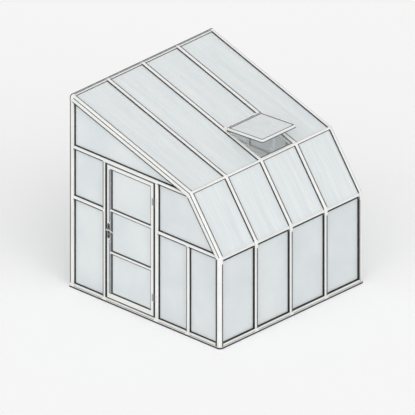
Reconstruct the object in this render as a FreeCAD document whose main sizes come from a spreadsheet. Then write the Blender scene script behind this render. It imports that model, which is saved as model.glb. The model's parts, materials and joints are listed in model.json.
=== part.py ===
import FreeCAD, Part
import os
import re
import Sketcher
from FreeCAD import Placement, Rotation, Vector

# Lean-to sunroom. Millimetres and degrees.
# X runs along the house wall, +Y points to the house, +Z is up.
# The origin is on the floor, in the middle of the footprint.

DOC = FreeCAD.newDocument("sunroom")

# Driving sizes.
SIZES = {
    "width": 2600,
    "depth": 2580,
    "height": 2660,
    "eave_height": 1250,
    "eave_pane_end": 8,
    "knee_run": 2050,
    "knee_height": 1990,
    "base_high": 55,
    "base_step": 8,
    "base_flange": 22,
    "bar_wide": 45,
    "bar_deep": 60,
    "gable_wide": 55,
    "gable_deep": 78,
    "wall_post_deep": 60,
    "post_wide": 50,
    "shell": 3,
    "glass_set": 34,
    "slot_wide": 8,
    "slot_deep": 12,
    "pane_thick": 4,
    "pane_cover": 9,
    "seal_lip": 8,
    "roof_set": 14,
    "roof_pane": 6,
    "cap_drop": 4,
    "purlin_half": 42,
    "edge_round": 9,
    "corner_round": 36,
    "cap_round": 5,
    "joiner_reach": 70,
    "fit_gap": 0.3,
    "head_rail_high": 45,
    "mid_rail_drop": 20,
    "mullion_from_wall": 1990,
    "right_first": 630,
    "right_pitch": 625,
    "door_from_wall": 612,
    "door_open": 840,
    "door_high": 1870,
    "door_side_gap": 17.5,
    "door_low_gap": 8,
    "door_top_gap": 7,
    "door_thick": 44,
    "door_set": 3,
    "door_face": 50,
    "door_bevel": 20,
    "door_mid_face": 14,
    "door_mid_drop": 6,
    "door_slot_set": 22,
    "stop_reach": 10,
    "stop_seal": 1.4,
    "hinge_from_end": 263,
    "hinge_long": 95,
    "hinge_leaf": 3,
    "hinge_radius": 7,
    "pin_radius": 3,
    "run_gap": 0.06,
    "lock_set": 33,
    "lever_height": 1025,
    "lock_drop": 72,
    "bolt_drop": 36,
    "plate_wide": 34,
    "plate_long": 208,
    "plate_thick": 6,
    "lever_out": 36,
    "lever_long": 104,
    "lever_drop": 14,
    "neck_radius": 9,
    "spindle_side": 8,
    "latch_reach": 15,
    "bolt_long": 32,
    "case_long": 190,
    "turn_long": 40,
    "turn_wide": 10,
    "vent_reach": 640,
    "vent_axis_up": 14,
    "vent_lift": 2,
    "vent_end": 10,
    "vent_long": 618,
    "vent_thick": 34,
    "vent_rim": 30,
    "vent_rebate": 8,
    "vent_corner": 40,
    "vent_angle": 21.5,
    "vent_hinge_out": 190,
    "vent_header_wide": 58,
    "stay_clear": 29,
    "stay_pivot_drop": 4,
    "stay_long": 370,
    "stay_wide": 32,
    "stay_thick": 4,
    "wall_hole_low": 400,
    "wall_hole_rise": 1600,
    "fix_hole_radius": 4,
    "floor_hole_out": 630,
}

# Sizes that follow from the driving ones.
DERIVED = {
    "front_y": "depth/2 - base_step",
    "side_x": "width/2 - base_step",
    "knee_y": "depth/2 - knee_run",
    "roof_long": "hypot(knee_run; height - knee_height)",
    "roof_cos": "knee_run/roof_long",
    "roof_sin": "(height - knee_height)/roof_long",
    "roof_slope": "asin(roof_sin)/1deg",
    "steep_run": "knee_y + front_y",
    "steep_rise": "knee_height - eave_height",
    "steep_long": "hypot(steep_run; steep_rise)",
    "steep_cos": "steep_run/steep_long",
    "steep_sin": "steep_rise/steep_long",
    "knee_sum": "1 + roof_sin*steep_sin + roof_cos*steep_cos",
    "knee_in_y": "(roof_sin + steep_sin)/knee_sum",
    "knee_in_z": "(roof_cos + steep_cos)/knee_sum",
    "eave_in_z": "steep_cos/(1 + steep_sin)",
    "bay_clear": "(2*(side_x - gable_wide) - 3*bar_wide)/4",
    "bay_pitch": "bay_clear + bar_wide",
    "spine_wide": "bar_wide - 2*slot_deep",
    "seat": "roof_set + slot_wide",
    "slot_in": "glass_set + slot_wide",
    "head_low": "base_high + door_high",
    "head_top": "head_low + head_rail_high",
    "mid_rail_low": "eave_height - mid_rail_drop",
    "mid_top": "mid_rail_low + bar_wide",
    "leaf_wide": "door_open - 2*door_side_gap",
    "leaf_high": "door_high - door_low_gap - door_top_gap",
    "stile_wide": "door_face + door_bevel",
    "mid_half": "door_mid_face/2 + door_bevel - door_mid_drop",
    "leaf_pane": "(leaf_high - 2*stile_wide - 4*mid_half)/3",
    "leaf_low": "base_high + door_low_gap",
    "leaf_y": "depth/2 - door_from_wall - door_side_gap",
    "hinge_y": "leaf_y - leaf_wide - door_side_gap/2",
    "hinge_x": "-side_x - hinge_leaf/2",
    "lever_z": "lever_height - leaf_low",
    "lock_z": "lever_z - lock_drop",
    "bolt_z": "lever_z - bolt_drop",
    "plate_z": "lever_z - lock_drop/2 + 7",
    "vent_x": "bay_pitch/2",
    "vent_y": "knee_y + vent_reach*roof_cos - vent_axis_up*roof_sin",
    "vent_z": "knee_height + vent_reach*roof_sin + vent_axis_up*roof_cos",
    "vent_turn": "roof_slope - vent_angle",
    "vent_half": "bay_pitch/2 - 2",
    "sash_low": "vent_lift - vent_axis_up",
    "sash_top": "sash_low + vent_thick",
    "stay_y": "knee_y + purlin_half*roof_cos + bar_deep*roof_sin + stay_clear",
    "stay_from_hinge": "(vent_y - stay_y + stay_pivot_drop*sin(vent_turn))/cos(vent_turn)",
    "stay_z": "vent_z - stay_from_hinge*sin(vent_turn) - stay_pivot_drop*cos(vent_turn)",
    "guide_set": "bar_deep - 15.5",
    "stay_along": "(stay_y - knee_y - guide_set*roof_sin)/roof_cos",
}


def fill_sheet(name, values):
    """Spreadsheet with one named cell for each value."""
    sheet = DOC.addObject("Spreadsheet::Sheet", name)
    for row, (alias, value) in enumerate(values.items(), 1):
        sheet.set(f"A{row}", alias)
        sheet.setAlias(f"B{row}", alias)
        sheet.set(f"B{row}", value if isinstance(value, str) else str(value))
    DOC.recompute()
    return sheet


def bind(text):
    """Expression text with each size name pointing at its cell."""
    def cell(match):
        word = match.group(0)
        if word in SIZES:
            return "Sizes." + word
        if word in DERIVED:
            return "Derived." + word
        return word
    return re.sub(r"[A-Za-z_]\w*", cell, text)


SHEET = fill_sheet("Sizes", SIZES)
FOLLOW = fill_sheet("Derived", {name: "=" + bind(text) for name, text in DERIVED.items()})


def number(text):
    """Present value of an expression."""
    value = SHEET.evalExpression(bind(text))
    return float(getattr(value, "Value", value))


def minus(text):
    return f"-({text})"


class Piece:
    """One sub-part: a body with its own sketches, features and placement."""

    def __init__(self, label, x="0", y="0", z="0", turn=None):
        self.body = DOC.addObject("PartDesign::Body", label)
        self.body.Label = label
        self.body.AllowCompound = True
        self.tip = None
        if turn:
            self.body.Placement = Placement(Vector(), Rotation(Vector(1, 0, 0), number(turn)))
            self.body.setExpression("Placement.Rotation.Angle", bind(turn))
        for axis, text in zip("xyz", (x, y, z)):
            self.body.setExpression("Placement.Base." + axis, bind(text))
        PIECES.append(self.body)

    def sketch(self, plane, loops, level):
        """Sketch on one of the body's own planes, each corner tied to the sizes."""
        sketch = self.body.newObject("Sketcher::SketchObject", "Sketch")
        for datum in self.body.Origin.OriginFeatures:
            if datum.Role == plane + "_Plane":
                sketch.AttachmentSupport = [(datum, "")]
        sketch.MapMode = "FlatFace"
        sketch.setExpression("AttachmentOffset.Base.z", bind(level))
        for loop in loops:
            if len(loop) == 1:
                self.draw_circle(sketch, *loop[0])
            else:
                self.draw_polygon(sketch, loop)
        return sketch

    def tie(self, sketch, kind, line, spot, text):
        index = sketch.addConstraint(Sketcher.Constraint(kind, -1, 1, line, spot, number(text)))
        sketch.setExpression(f"Constraints[{index}]", bind(text))

    def draw_polygon(self, sketch, loop):
        spots = [Vector(number(u), number(v), 0) for u, v in loop]
        lines = []
        for here, there in zip(spots, spots[1:] + spots[:1]):
            lines.append(sketch.addGeometry(Part.LineSegment(here, there)))
        for line, after in zip(lines, lines[1:] + lines[:1]):
            sketch.addConstraint(Sketcher.Constraint("Coincident", line, 2, after, 1))
        for line, (u, v) in zip(lines, loop):
            self.tie(sketch, "DistanceX", line, 1, u)
            self.tie(sketch, "DistanceY", line, 1, v)

    def draw_circle(self, sketch, u, v, radius):
        centre = Vector(number(u), number(v), 0)
        ring = sketch.addGeometry(Part.Circle(centre, Vector(0, 0, 1), number(radius)))
        self.tie(sketch, "DistanceX", ring, 3, u)
        self.tie(sketch, "DistanceY", ring, 3, v)
        index = sketch.addConstraint(Sketcher.Constraint("Radius", ring, number(radius)))
        sketch.setExpression(f"Constraints[{index}]", bind(radius))

    def pad(self, plane, loops, start, stop):
        """Material between two levels along the axis across the plane."""
        level = minus(stop) if plane == "XZ" else start
        sketch = self.sketch(plane, loops, level)
        pad = self.body.newObject("PartDesign::Pad", "Pad")
        pad.Profile = sketch
        pad.setExpression("Length", bind(f"({stop}) - ({start})"))
        self.tip = pad
        return self

    def cut(self, plane, loops, start, stop):
        """Material taken away between two levels along the axis across the plane."""
        level = minus(start) if plane == "XZ" else stop
        sketch = self.sketch(plane, loops, level)
        pocket = self.body.newObject("PartDesign::Pocket", "Pocket")
        pocket.Profile = sketch
        pocket.setExpression("Length", bind(f"({stop}) - ({start})"))
        self.tip = pocket
        return self

    def loft(self, sections):
        """Skin through round sections, each (y, x, z, radius)."""
        rings = []
        for y, x, z, radius in sections:
            rings.append(self.sketch("XZ", [[(x, z, radius)]], minus(y)))
        loft = self.body.newObject("PartDesign::AdditiveLoft", "Loft")
        loft.Profile = rings[0]
        loft.Sections = rings[1:]
        self.tip = loft
        return self

    def round_off(self, radius, spots):
        """Rounding on the edges that run nearest to the given points."""
        DOC.recompute()
        names = []
        for spot in spots:
            point = Part.Vertex(Vector(*[number(text) for text in spot]))
            gaps = [edge.distToShape(point)[0] for edge in self.tip.Shape.Edges]
            name = f"Edge{gaps.index(min(gaps)) + 1}"
            if name not in names:
                names.append(name)
        fillet = self.body.newObject("PartDesign::Fillet", "Fillet")
        fillet.Base = (self.tip, names)
        fillet.setExpression("Radius", bind(radius))
        self.tip = fillet
        return self

    def copies(self, axis, pitch, total):
        """The whole piece repeated along one of the body's axes."""
        DOC.recompute()
        self.body.Tip = self.tip
        pattern = self.body.newObject("PartDesign::LinearPattern", "Pattern")
        pattern.TransformMode = "Whole shape"
        pattern.Originals = [self.tip]
        for datum in self.body.Origin.OriginFeatures:
            if datum.Role == axis + "_Axis":
                pattern.Direction = (datum, [""])
        pattern.setExpression("Length", bind(f"({pitch})*{total - 1}"))
        pattern.Occurrences = total
        self.body.Tip = pattern
        self.tip = pattern
        return self


PIECES = []
SIDES = (-1, 1)


def box(u0, v0, u1, v1):
    """Rectangle between two corners."""
    return [(u0, v0), (u1, v0), (u1, v1), (u0, v1)]


def across(side, near, far):
    """Span along X measured inwards from a gable's outer face."""
    if side < 0:
        return f"-side_x + {near}", f"-side_x + {far}"
    return f"side_x - ({far})", f"side_x - ({near})"


def from_wall(distance):
    """Y at a distance in front of the house wall."""
    return f"depth/2 - ({distance})"


# Points in the YZ plane of the frame. "inset" is the depth below the outer face.
def knee(inset):
    """Mitre line where the upper and the steep roof meet."""
    return f"knee_y + ({inset})*knee_in_y", f"knee_height - ({inset})*knee_in_z"


def eave(inset):
    """Mitre line where the steep roof meets the front wall."""
    return f"-front_y + ({inset})", f"eave_height - ({inset})*eave_in_z"


def wall(inset):
    """Upper roof at the house wall."""
    return "depth/2", f"height - ({inset})/roof_cos"


def roof(along, inset):
    """Point on the upper roof, measured up the slope from the knee."""
    return (f"knee_y + ({along})*roof_cos + ({inset})*roof_sin",
            f"knee_height + ({along})*roof_sin - ({inset})*roof_cos")


def steep(down, inset):
    """Point on the steep roof, measured down the slope from the knee."""
    return (f"knee_y - ({down})*steep_cos + ({inset})*steep_sin",
            f"knee_height - ({down})*steep_sin - ({inset})*steep_cos")


def roof_band(outer, inner):
    return [knee(outer), wall(outer), wall(inner), knee(inner)]


def steep_band(outer, inner):
    return [eave(outer), knee(outer), knee(inner), eave(inner)]


def post_band(outer, inner):
    low = "base_high"
    return [(f"-front_y + ({outer})", low), eave(outer), eave(inner), (f"-front_y + ({inner})", low)]


def outside(inset):
    """All that lies beyond a line set in from the gable's sloping outline."""
    far = "-depth"
    top = "height + 200"
    low = f"eave_height - ({inset})*eave_in_z - 300"
    return [(f"-front_y + ({inset})", low), eave(inset), knee(inset), wall(inset),
            ("depth/2", top), (far, top), (far, low)]


def middle(text):
    return f"-({text})/2", f"({text})/2"


# Base
def base_section(deep):
    return [("-base_step", "0"), ("-base_step", "base_flange"), ("0", "base_flange + base_step"),
            ("0", "base_high"), ("glass_set", "base_high"), ("glass_set", "base_high - slot_deep"),
            ("slot_in", "base_high - slot_deep"), ("slot_in", "base_high"), (deep, "base_high"), (deep, "0")]


def base_chamber(deep):
    return box("shell", "shell", f"{deep} - shell", "base_high - slot_deep - shell")


def base_rail_front():
    piece = Piece("base_rail_front", y="-front_y")
    end = "side_x - gable_wide - 10"
    piece.pad("YZ", [base_section("bar_deep"), base_chamber("bar_deep")], minus(end), end)
    hole_y = "(slot_in + bar_deep)/2"
    holes = [[(x, hole_y, "fix_hole_radius")] for x in ("-floor_hole_out", "floor_hole_out")]
    piece.cut("XY", holes, "-1", "base_high + 1")
    piece.round_off("edge_round/2", [("0", "0", "base_high")])


def base_rail_side(label, side):
    """Side rail drawn from its outer face inwards."""
    piece = Piece(label, x=f"{side}*side_x")
    front = "-front_y + gable_deep + 10"

    def turned(loop):
        return [(u if side < 0 else minus(u), v) for u, v in loop]
    loops = [turned(base_section("gable_wide")), turned(base_chamber("gable_wide"))]
    piece.pad("XZ", loops, front, "depth/2")
    edge_y = "-front_y/2"
    piece.round_off("edge_round/2", [("0", edge_y, "base_high")])


def base_corners():
    piece = Piece("base_corners")
    reach_y = "-front_y + gable_deep + 10"
    for side in SIDES:
        low = across(side, "-base_step", "gable_wide + 10")
        high = across(side, "0", "gable_wide + 10")
        piece.pad("XY", [box(low[0], "-depth/2", low[1], reach_y)], "0", "base_flange")
        piece.pad("XY", [box(high[0], "-front_y", high[1], reach_y)], "base_flange", "base_high")
        front_slot = across(side, "gable_wide - slot_deep", "gable_wide + 11")
        side_slot = across(side, "glass_set", "slot_in")
        slot_low = "base_high - slot_deep"
        piece.cut("XY", [box(front_slot[0], "-front_y + glass_set", front_slot[1], "-front_y + slot_in")],
                  slot_low, "base_high + 1")
        piece.cut("XY", [box(side_slot[0], "-front_y + gable_deep - slot_deep", side_slot[1],
                             "-front_y + gable_deep + 11")], slot_low, "base_high + 1")
    for side in SIDES:
        corner = f"{side}*width/2"
        upper = f"{side}*side_x"
        piece.round_off("corner_round + base_step", [(corner, "-depth/2", "base_flange/2")])
        piece.round_off("corner_round", [(upper, "-front_y", "(base_flange + base_high)/2")])


# Front frame and rafters
def corner_posts():
    piece = Piece("corner_posts")
    for side in SIDES:
        piece.pad("YZ", [post_band("0", "gable_deep")], *across(side, "0", "gable_wide"))
    for side in SIDES:
        front_slot = across(side, "gable_wide - slot_deep", "gable_wide + 1")
        side_slot = across(side, "glass_set", "slot_in")
        piece.cut("YZ", [post_band("glass_set", "slot_in")], *front_slot)
        piece.cut("YZ", [post_band("gable_deep - slot_deep", "gable_deep + 1")], *side_slot)
        room = across(side, "corner_round/2", "glass_set - shell")
        piece.cut("YZ", [post_band("corner_round/2", "glass_set - shell")], *room)
        inner = across(side, "shell", "slot_in - 2")
        piece.cut("YZ", [post_band("slot_in + shell", "gable_deep - slot_deep - shell")], *inner)
    corners = [(f"{side}*side_x", "-front_y", "eave_height/2") for side in SIDES]
    piece.round_off("corner_round", corners)


def front_mullions():
    piece = Piece("front_mullions", x="-bay_pitch")
    piece.pad("YZ", [post_band("0", "glass_set")], *middle("bar_wide"))
    piece.pad("YZ", [post_band("glass_set", "slot_in")], *middle("spine_wide"))
    piece.pad("YZ", [post_band("slot_in", "bar_deep")], *middle("bar_wide"))
    piece.cut("YZ", [post_band("shell", "glass_set - shell")], *middle("bar_wide - 2*shell"))
    piece.cut("YZ", [post_band("slot_in + shell", "bar_deep - shell")], *middle("bar_wide - 2*shell"))
    edges = [(x, "-front_y", "eave_height/2") for x in middle("bar_wide")]
    piece.round_off("edge_round", edges)
    piece.copies("X", "bay_pitch", 3)


def inner_rafters(label, band):
    piece = Piece(label, x="-bay_pitch")
    piece.pad("YZ", [band("seat", "bar_deep")], *middle("bar_wide"))
    piece.pad("YZ", [band("roof_set", "seat")], *middle("spine_wide"))
    piece.cut("YZ", [band("seat + shell", "bar_deep - shell")], *middle("bar_wide - 2*shell"))
    piece.copies("X", "bay_pitch", 3)


def rounded_gable_bar(piece, bands):
    """Full gable bars whose outer top edge has the large rounding of the corner posts."""
    edges = []
    for side in SIDES:
        for band, spot in bands:
            piece.pad("YZ", [band("0", "gable_deep")], *across(side, "0", "gable_wide"))
            edges.append((f"{side}*side_x", *spot))
    piece.round_off("corner_round", edges)


def gable_rafters(label, band, top_edge, low_edge):
    piece = Piece(label)
    rounded_gable_bar(piece, [(band, top_edge)])
    for side in SIDES:
        piece.cut("YZ", [band("-1", "roof_set")], *across(side, "-1", "gable_wide + 1"))
        piece.cut("YZ", [band("roof_set - 1", "seat")], *across(side, "gable_wide - slot_deep", "gable_wide + 1"))
        slot = across(side, "glass_set", "slot_in")
        chamber = across(side, "2*shell", "gable_wide - shell")
        piece.cut("YZ", [band("gable_deep - slot_deep", "gable_deep + 1")], *slot)
        piece.cut("YZ", [band("seat + shell", "bar_deep - shell")], *chamber)
    piece.round_off("edge_round + 4", [(f"{side}*side_x", *low_edge) for side in SIDES])


ROOF_TOP = roof("roof_long/2", "0")
STEEP_TOP = steep("steep_long/2", "0")


def rafter_caps():
    """Cover strips that clamp the roof panes to the rafters."""
    piece = Piece("rafter_caps")
    bands = ((roof_band, ROOF_TOP), (steep_band, STEEP_TOP))
    rounded_gable_bar(piece, bands)
    tops = []
    for side in SIDES:
        for band, spot in bands:
            piece.cut("YZ", [band("roof_set", "gable_deep + 1")], *across(side, "-1", "gable_wide + 1"))
            tops.append((f"{side}*(side_x - gable_wide)", *spot))
    for step in (-1, 0, 1):
        low = f"{step}*bay_pitch - bar_wide/2"
        high = f"{step}*bay_pitch + bar_wide/2"
        for band, spot in bands:
            piece.pad("YZ", [band("0", "roof_set")], low, high)
            tops += [(low, *spot), (high, *spot)]
    piece.round_off("cap_round", tops)


def frame_joiners():
    """Bent tongues inside the mitred joints at knee and eave."""
    piece = Piece("frame_joiners")
    inner = "bar_wide/2 - shell - fit_gap"
    spans = [(f"{i}*bay_pitch - ({inner})", f"{i}*bay_pitch + {inner}") for i in (-1, 0, 1)]
    knee_spans = spans + [across(side, "2*shell + fit_gap", "gable_wide - shell - fit_gap") for side in SIDES]
    eave_spans = spans + [across(side, "2*shell + fit_gap", "slot_in - 2 - fit_gap") for side in SIDES]
    top = "seat + shell + fit_gap"
    low = "bar_deep - shell - fit_gap"
    bend = [steep("joiner_reach", top), knee(top), roof("joiner_reach", top),
            roof("joiner_reach", low), knee(low), steep("joiner_reach", low)]
    for span in knee_spans:
        piece.pad("YZ", [bend], *span)
    top = "slot_in + shell + fit_gap"
    down = "eave_height - joiner_reach"
    foot = [(f"-front_y + {top}", down), eave(top), steep("steep_long - joiner_reach", top),
            steep("steep_long - joiner_reach", low), eave(low), (f"-front_y + {low}", down)]
    for span in eave_spans:
        piece.pad("YZ", [foot], *span)


def bay_rails(label, loop):
    """One rail in each of the four bays."""
    piece = Piece(label, x="-1.5*bay_pitch")
    piece.pad("YZ", [loop], *middle("bay_clear"))
    piece.copies("X", "bay_pitch", 4)


def eave_loop():
    def face(inset, down):
        y, z = eave(inset)
        return y, f"{z} - ({down})"

    def slope(inset, up):
        y, z = eave(inset)
        return f"{y} + ({up})*steep_cos", f"{z} + ({up})*steep_sin"
    lip = "3*cap_drop"

    def lip_end(inset):
        return slope(inset, f"eave_pane_end - 0.7 - ({inset})*eave_in_z")
    return [face(lip, "40"), eave(lip), lip_end(lip), lip_end("seat"), slope("seat", "purlin_half"),
            slope("bar_deep", "purlin_half"), eave("bar_deep"), face("bar_deep", "40"), face("slot_in", "40"),
            face("slot_in", "40 - slot_deep"), face("glass_set", "40 - slot_deep"), face("glass_set", "40")]


def purlin_loop():
    half = "purlin_half"
    return [steep(half, "seat"), knee("seat"), roof(half, "seat"),
            roof(half, "bar_deep"), knee("bar_deep"), steep(half, "bar_deep")]


def purlin_cap_loop():
    return [steep("18", "cap_drop"), knee("cap_drop"), roof("18", "cap_drop"), roof("18", "roof_set"),
            roof("9", "roof_set"), roof("9", "seat"), knee("seat"), steep("9", "seat"),
            steep("9", "roof_set"), steep("18", "roof_set")]


def wall_loop():
    def down(along, inset):
        y, z = wall(inset)
        return f"{y} - ({along})*roof_cos", f"{z} - ({along})*roof_sin"
    return [wall("cap_drop"), down("36", "cap_drop"), down("36", "roof_set"), down("24", "roof_set"),
            down("24", "seat"), down("36", "seat"), down("36", "bar_deep"), wall("bar_deep + 30")]


# Gables
def wall_posts():
    piece = Piece("wall_posts")
    face = from_wall("wall_post_deep")
    top_back = wall("gable_deep")[1]
    top_front = f"{top_back} - wall_post_deep*roof_sin/roof_cos"
    side_view = [(face, "base_high"), ("depth/2", "base_high"), ("depth/2", top_back), (face, top_front)]
    for side in SIDES:
        piece.pad("YZ", [side_view], *across(side, "0", "gable_wide"))
    for side in SIDES:
        slot = across(side, "glass_set", "slot_in")
        room = across(side, "shell", "glass_set - shell")
        piece.cut("XY", [box(slot[0], f"{face} - 1", slot[1], f"{face} + slot_deep")], "base_high - 1", "height")
        piece.cut("XY", [box(room[0], f"{face} + shell", room[1], "depth/2 - shell")], "base_high - 1", "height")
        x = across(side, "(slot_in + gable_wide)/2", "0")[0 if side < 0 else 1]
        holes = [[(x, z, "fix_hole_radius")] for z in ("wall_hole_low", "wall_hole_low + wall_hole_rise")]
        piece.cut("XZ", holes, f"{face} - 1", "depth/2 + 1")
    edges = [(f"{side}*side_x", y, "height/2") for side in SIDES for y in (face, "depth/2")]
    piece.round_off("edge_round", edges)


def upright(piece, side, near, wide, top, slots):
    """Vertical gable bar; slots names the sides (back, front) that hold panes."""
    x0, x1 = across(side, "0", "gable_wide")
    back = from_wall(near)
    front = from_wall(f"{near} + {wide}")
    piece.pad("XY", [box(x0, front, x1, back)], "base_high", top)
    slot = across(side, "glass_set", "slot_in")
    room = across(side, "shell", "glass_set - shell")
    if "back" in slots:
        piece.cut("XY", [box(slot[0], f"{back} - slot_deep", slot[1], f"{back} + 1")], "base_high - 1", f"{top} + 1")
    if "front" in slots:
        piece.cut("XY", [box(slot[0], f"{front} - 1", slot[1], f"{front} + slot_deep")], "base_high - 1", f"{top} + 1")
    piece.cut("XY", [box(room[0], f"{front} + shell", room[1], f"{back} - shell")], "base_high - 1", f"{top} + 1")
    edges = [(f"{side}*side_x", y, "head_low/2") for y in (front, back)]
    return edges


def gable_rail(piece, side, near, far, low, high, trim):
    """Level gable bar with a pane groove above and below."""
    back = from_wall(near)
    front = from_wall(far)
    piece.pad("YZ", [box(front, low, back, high)], *across(side, "0", "gable_wide"))
    slot = across(side, "glass_set", "slot_in")
    piece.cut("YZ", [box(f"{front} - 1", low, f"{back} + 1", f"{low} + slot_deep")], *slot)
    piece.cut("YZ", [box(f"{front} - 1", f"{high} - slot_deep", f"{back} + 1", high)], *slot)
    if trim:
        piece.cut("YZ", [outside("gable_deep")], *across(side, "-1", "gable_wide + 1"))
    return [(f"{side}*side_x", f"({front} + {back})/2", z) for z in (low, high)]


def gable_head_rails():
    piece = Piece("gable_head_rails")
    edges = []
    for side in SIDES:
        edges += gable_rail(piece, side, "wall_post_deep", "knee_run + 200", "head_low", "head_top", True)
    piece.round_off("edge_round", edges)


CORNER_FACE = "depth/2 + front_y - gable_deep"
POST_END = "door_from_wall + door_open + post_wide"


def gable_mid_rails():
    piece = Piece("gable_mid_rails")
    edges = []
    left = [("wall_post_deep", "door_from_wall - post_wide", False), (POST_END, CORNER_FACE, True)]
    first_end = "right_first + bar_wide"
    second = "right_first + right_pitch"
    right = [("wall_post_deep", "right_first", False), (first_end, second, False),
             (f"{second} + bar_wide", CORNER_FACE, True)]
    for side, spans in ((-1, left), (1, right)):
        for near, far, trim in spans:
            edges += gable_rail(piece, side, near, far, "mid_rail_low", "mid_top", trim)
    piece.round_off("edge_round", edges)


def door_posts():
    piece = Piece("door_post_latch")
    edges = upright(piece, -1, "door_from_wall - post_wide", "post_wide", "head_low", ("back",))
    face = from_wall("door_from_wall")
    slot_x = across(-1, "door_set + door_thick/2 - 7", "door_set + door_thick/2 + 7")
    height = "leaf_low + bolt_z"
    piece.cut("YZ", [box(f"{face} - 1", f"{height} - 12", f"{face} + 12", f"{height} + 12")], *slot_x)
    piece.round_off("edge_round", edges)
    piece = Piece("door_post_hinge")
    near = "door_from_wall + door_open"
    piece.round_off("edge_round", upright(piece, -1, near, "post_wide", "head_low", ("front",)))


def gable_uprights():
    piece = Piece("gable_mullion_left")
    both = ("back", "front")
    piece.round_off("edge_round", upright(piece, -1, "mullion_from_wall", "bar_wide", "mid_rail_low", both))
    piece = Piece("gable_uprights_right")
    edges = []
    tops = ("head_low", "head_low", "mid_rail_low")
    for step, top in enumerate(tops):
        edges += upright(piece, 1, f"right_first + {step}*right_pitch", "bar_wide", top, both)
    edges = [(x, y, "mid_rail_low/2") for x, y, z in edges]
    piece.round_off("edge_round", edges)


# Panes
def bay_panes(label, loops):
    """One roof or wall pane in each bay, its side edges under the bars."""
    piece = Piece(label)
    for step, loop in enumerate(loops):
        centre = f"{step - 1.5}*bay_pitch"
        half = "(bay_clear/2 + pane_cover)"
        piece.pad("YZ", [loop], f"{centre} - {half}", f"{centre} + {half}")
    return piece


def front_panes():
    face = "-front_y + slot_in"
    low = "base_high - pane_cover"
    high = f"{eave('glass_set')[1]} - 40 + pane_cover"
    return bay_panes("front_panes", 4*[box(f"{face} - pane_thick", low, face, high)])


def steep_panes():
    low = "steep_long - eave_pane_end"
    top = "seat - roof_pane"
    loop = [steep(low, top), steep("12", top), steep("12", "seat"), steep(low, "seat")]
    return bay_panes("steep_panes", 4*[loop])


def roof_panes():
    top = "seat - roof_pane"
    end = "roof_long - 27 - seat*roof_sin/roof_cos"
    full = [roof("12", top), roof(end, top), roof(end, "seat"), roof("12", "seat")]
    start = "vent_reach + 27"
    short = [roof(start, top), roof(end, top), roof(end, "seat"), roof(start, "seat")]
    return bay_panes("roof_panes", [full, full, short, full])


def gable_panes():
    """Wall panes of both gables, trimmed to the sloping rafters."""
    piece = Piece("gable_panes")
    near = "wall_post_deep"
    second = "right_first + right_pitch"
    third = f"{second} + right_pitch"
    low = ("base_high", "mid_rail_low")
    high = ("mid_top", "head_low")
    far = CORNER_FACE
    left = [(near, "door_from_wall - post_wide", *low), (near, "door_from_wall - post_wide", *high),
            (POST_END, "mullion_from_wall", *low), ("mullion_from_wall + bar_wide", far, *low),
            (POST_END, far, *high)]
    right = [(near, "right_first", *low), (near, "right_first", *high),
             ("right_first + bar_wide", second, *low), ("right_first + bar_wide", second, *high),
             (f"{second} + bar_wide", third, *low), (f"{third} + bar_wide", far, *low),
             (f"{second} + bar_wide", far, *high)]
    top = (near, "knee_run + 100", "head_top", "height")
    for side, openings in ((-1, left + [top]), (1, right + [top])):
        span = across(side, "slot_in - pane_thick", "slot_in")
        for back, front, bottom, head in openings:
            view = box(from_wall(f"{front} + pane_cover"), f"{bottom} - pane_cover",
                       from_wall(f"{back} - pane_cover"), f"{head} + pane_cover")
            piece.pad("YZ", [view], *span)
        piece.cut("YZ", [outside("gable_deep - pane_cover")], *across(side, "0", "gable_wide"))
    return piece


def seal_ring(pane, outward, thick, reach, drain):
    """Seal strip around one pane, drawn from the pane's own outline; it is left open on the drain side."""
    faces = [face for face in pane.Faces if face.normalAt(0, 0).dot(outward) > 0.9]
    face = max(faces, key=lambda item: item.Area)
    outer = face.makeOffset2D(-0.5, 2)
    inner = face.makeOffset2D(-reach, 2)
    strip = outer.cut(inner)
    if drain:
        strip = strip.cut(inner.translated(drain*reach))
    return strip.Faces[0].extrude(outward*thick)


def seal_node(label, groups):
    """All seals of one kind as separate loops."""
    loops = []
    for body, outward, thick, reach, drain in groups:
        for pane in body.Shape.Solids:
            way = outward
            if outward is None:
                way = Vector(-1 if pane.CenterOfMass.x < 0 else 1, 0, 0)
            loops.append(seal_ring(pane, way, thick, reach, drain))
    feature = DOC.addObject("Part::Feature", label)
    feature.Label = label
    feature.Shape = Part.makeCompound(loops)
    feature.Placement = Placement()
    PIECES.append(feature)


# Door
def leaf_piece(label):
    """Door piece drawn from the leaf's outer, lower, latch-side corner."""
    return Piece(label, x="-side_x + door_set", y="leaf_y", z="leaf_low")


def leaf_section():
    """Leaf bar section: depth from the outer face, distance from the leaf's edge."""
    slot_end = "door_slot_set + slot_wide"
    return [("0", "0"), ("0", "door_face"), ("door_bevel", "stile_wide"), ("door_slot_set", "stile_wide"),
            ("door_slot_set", "stile_wide - slot_deep"), (slot_end, "stile_wide - slot_deep"),
            (slot_end, "stile_wide"), ("door_thick", "stile_wide"), ("door_thick", "0")]


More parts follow.
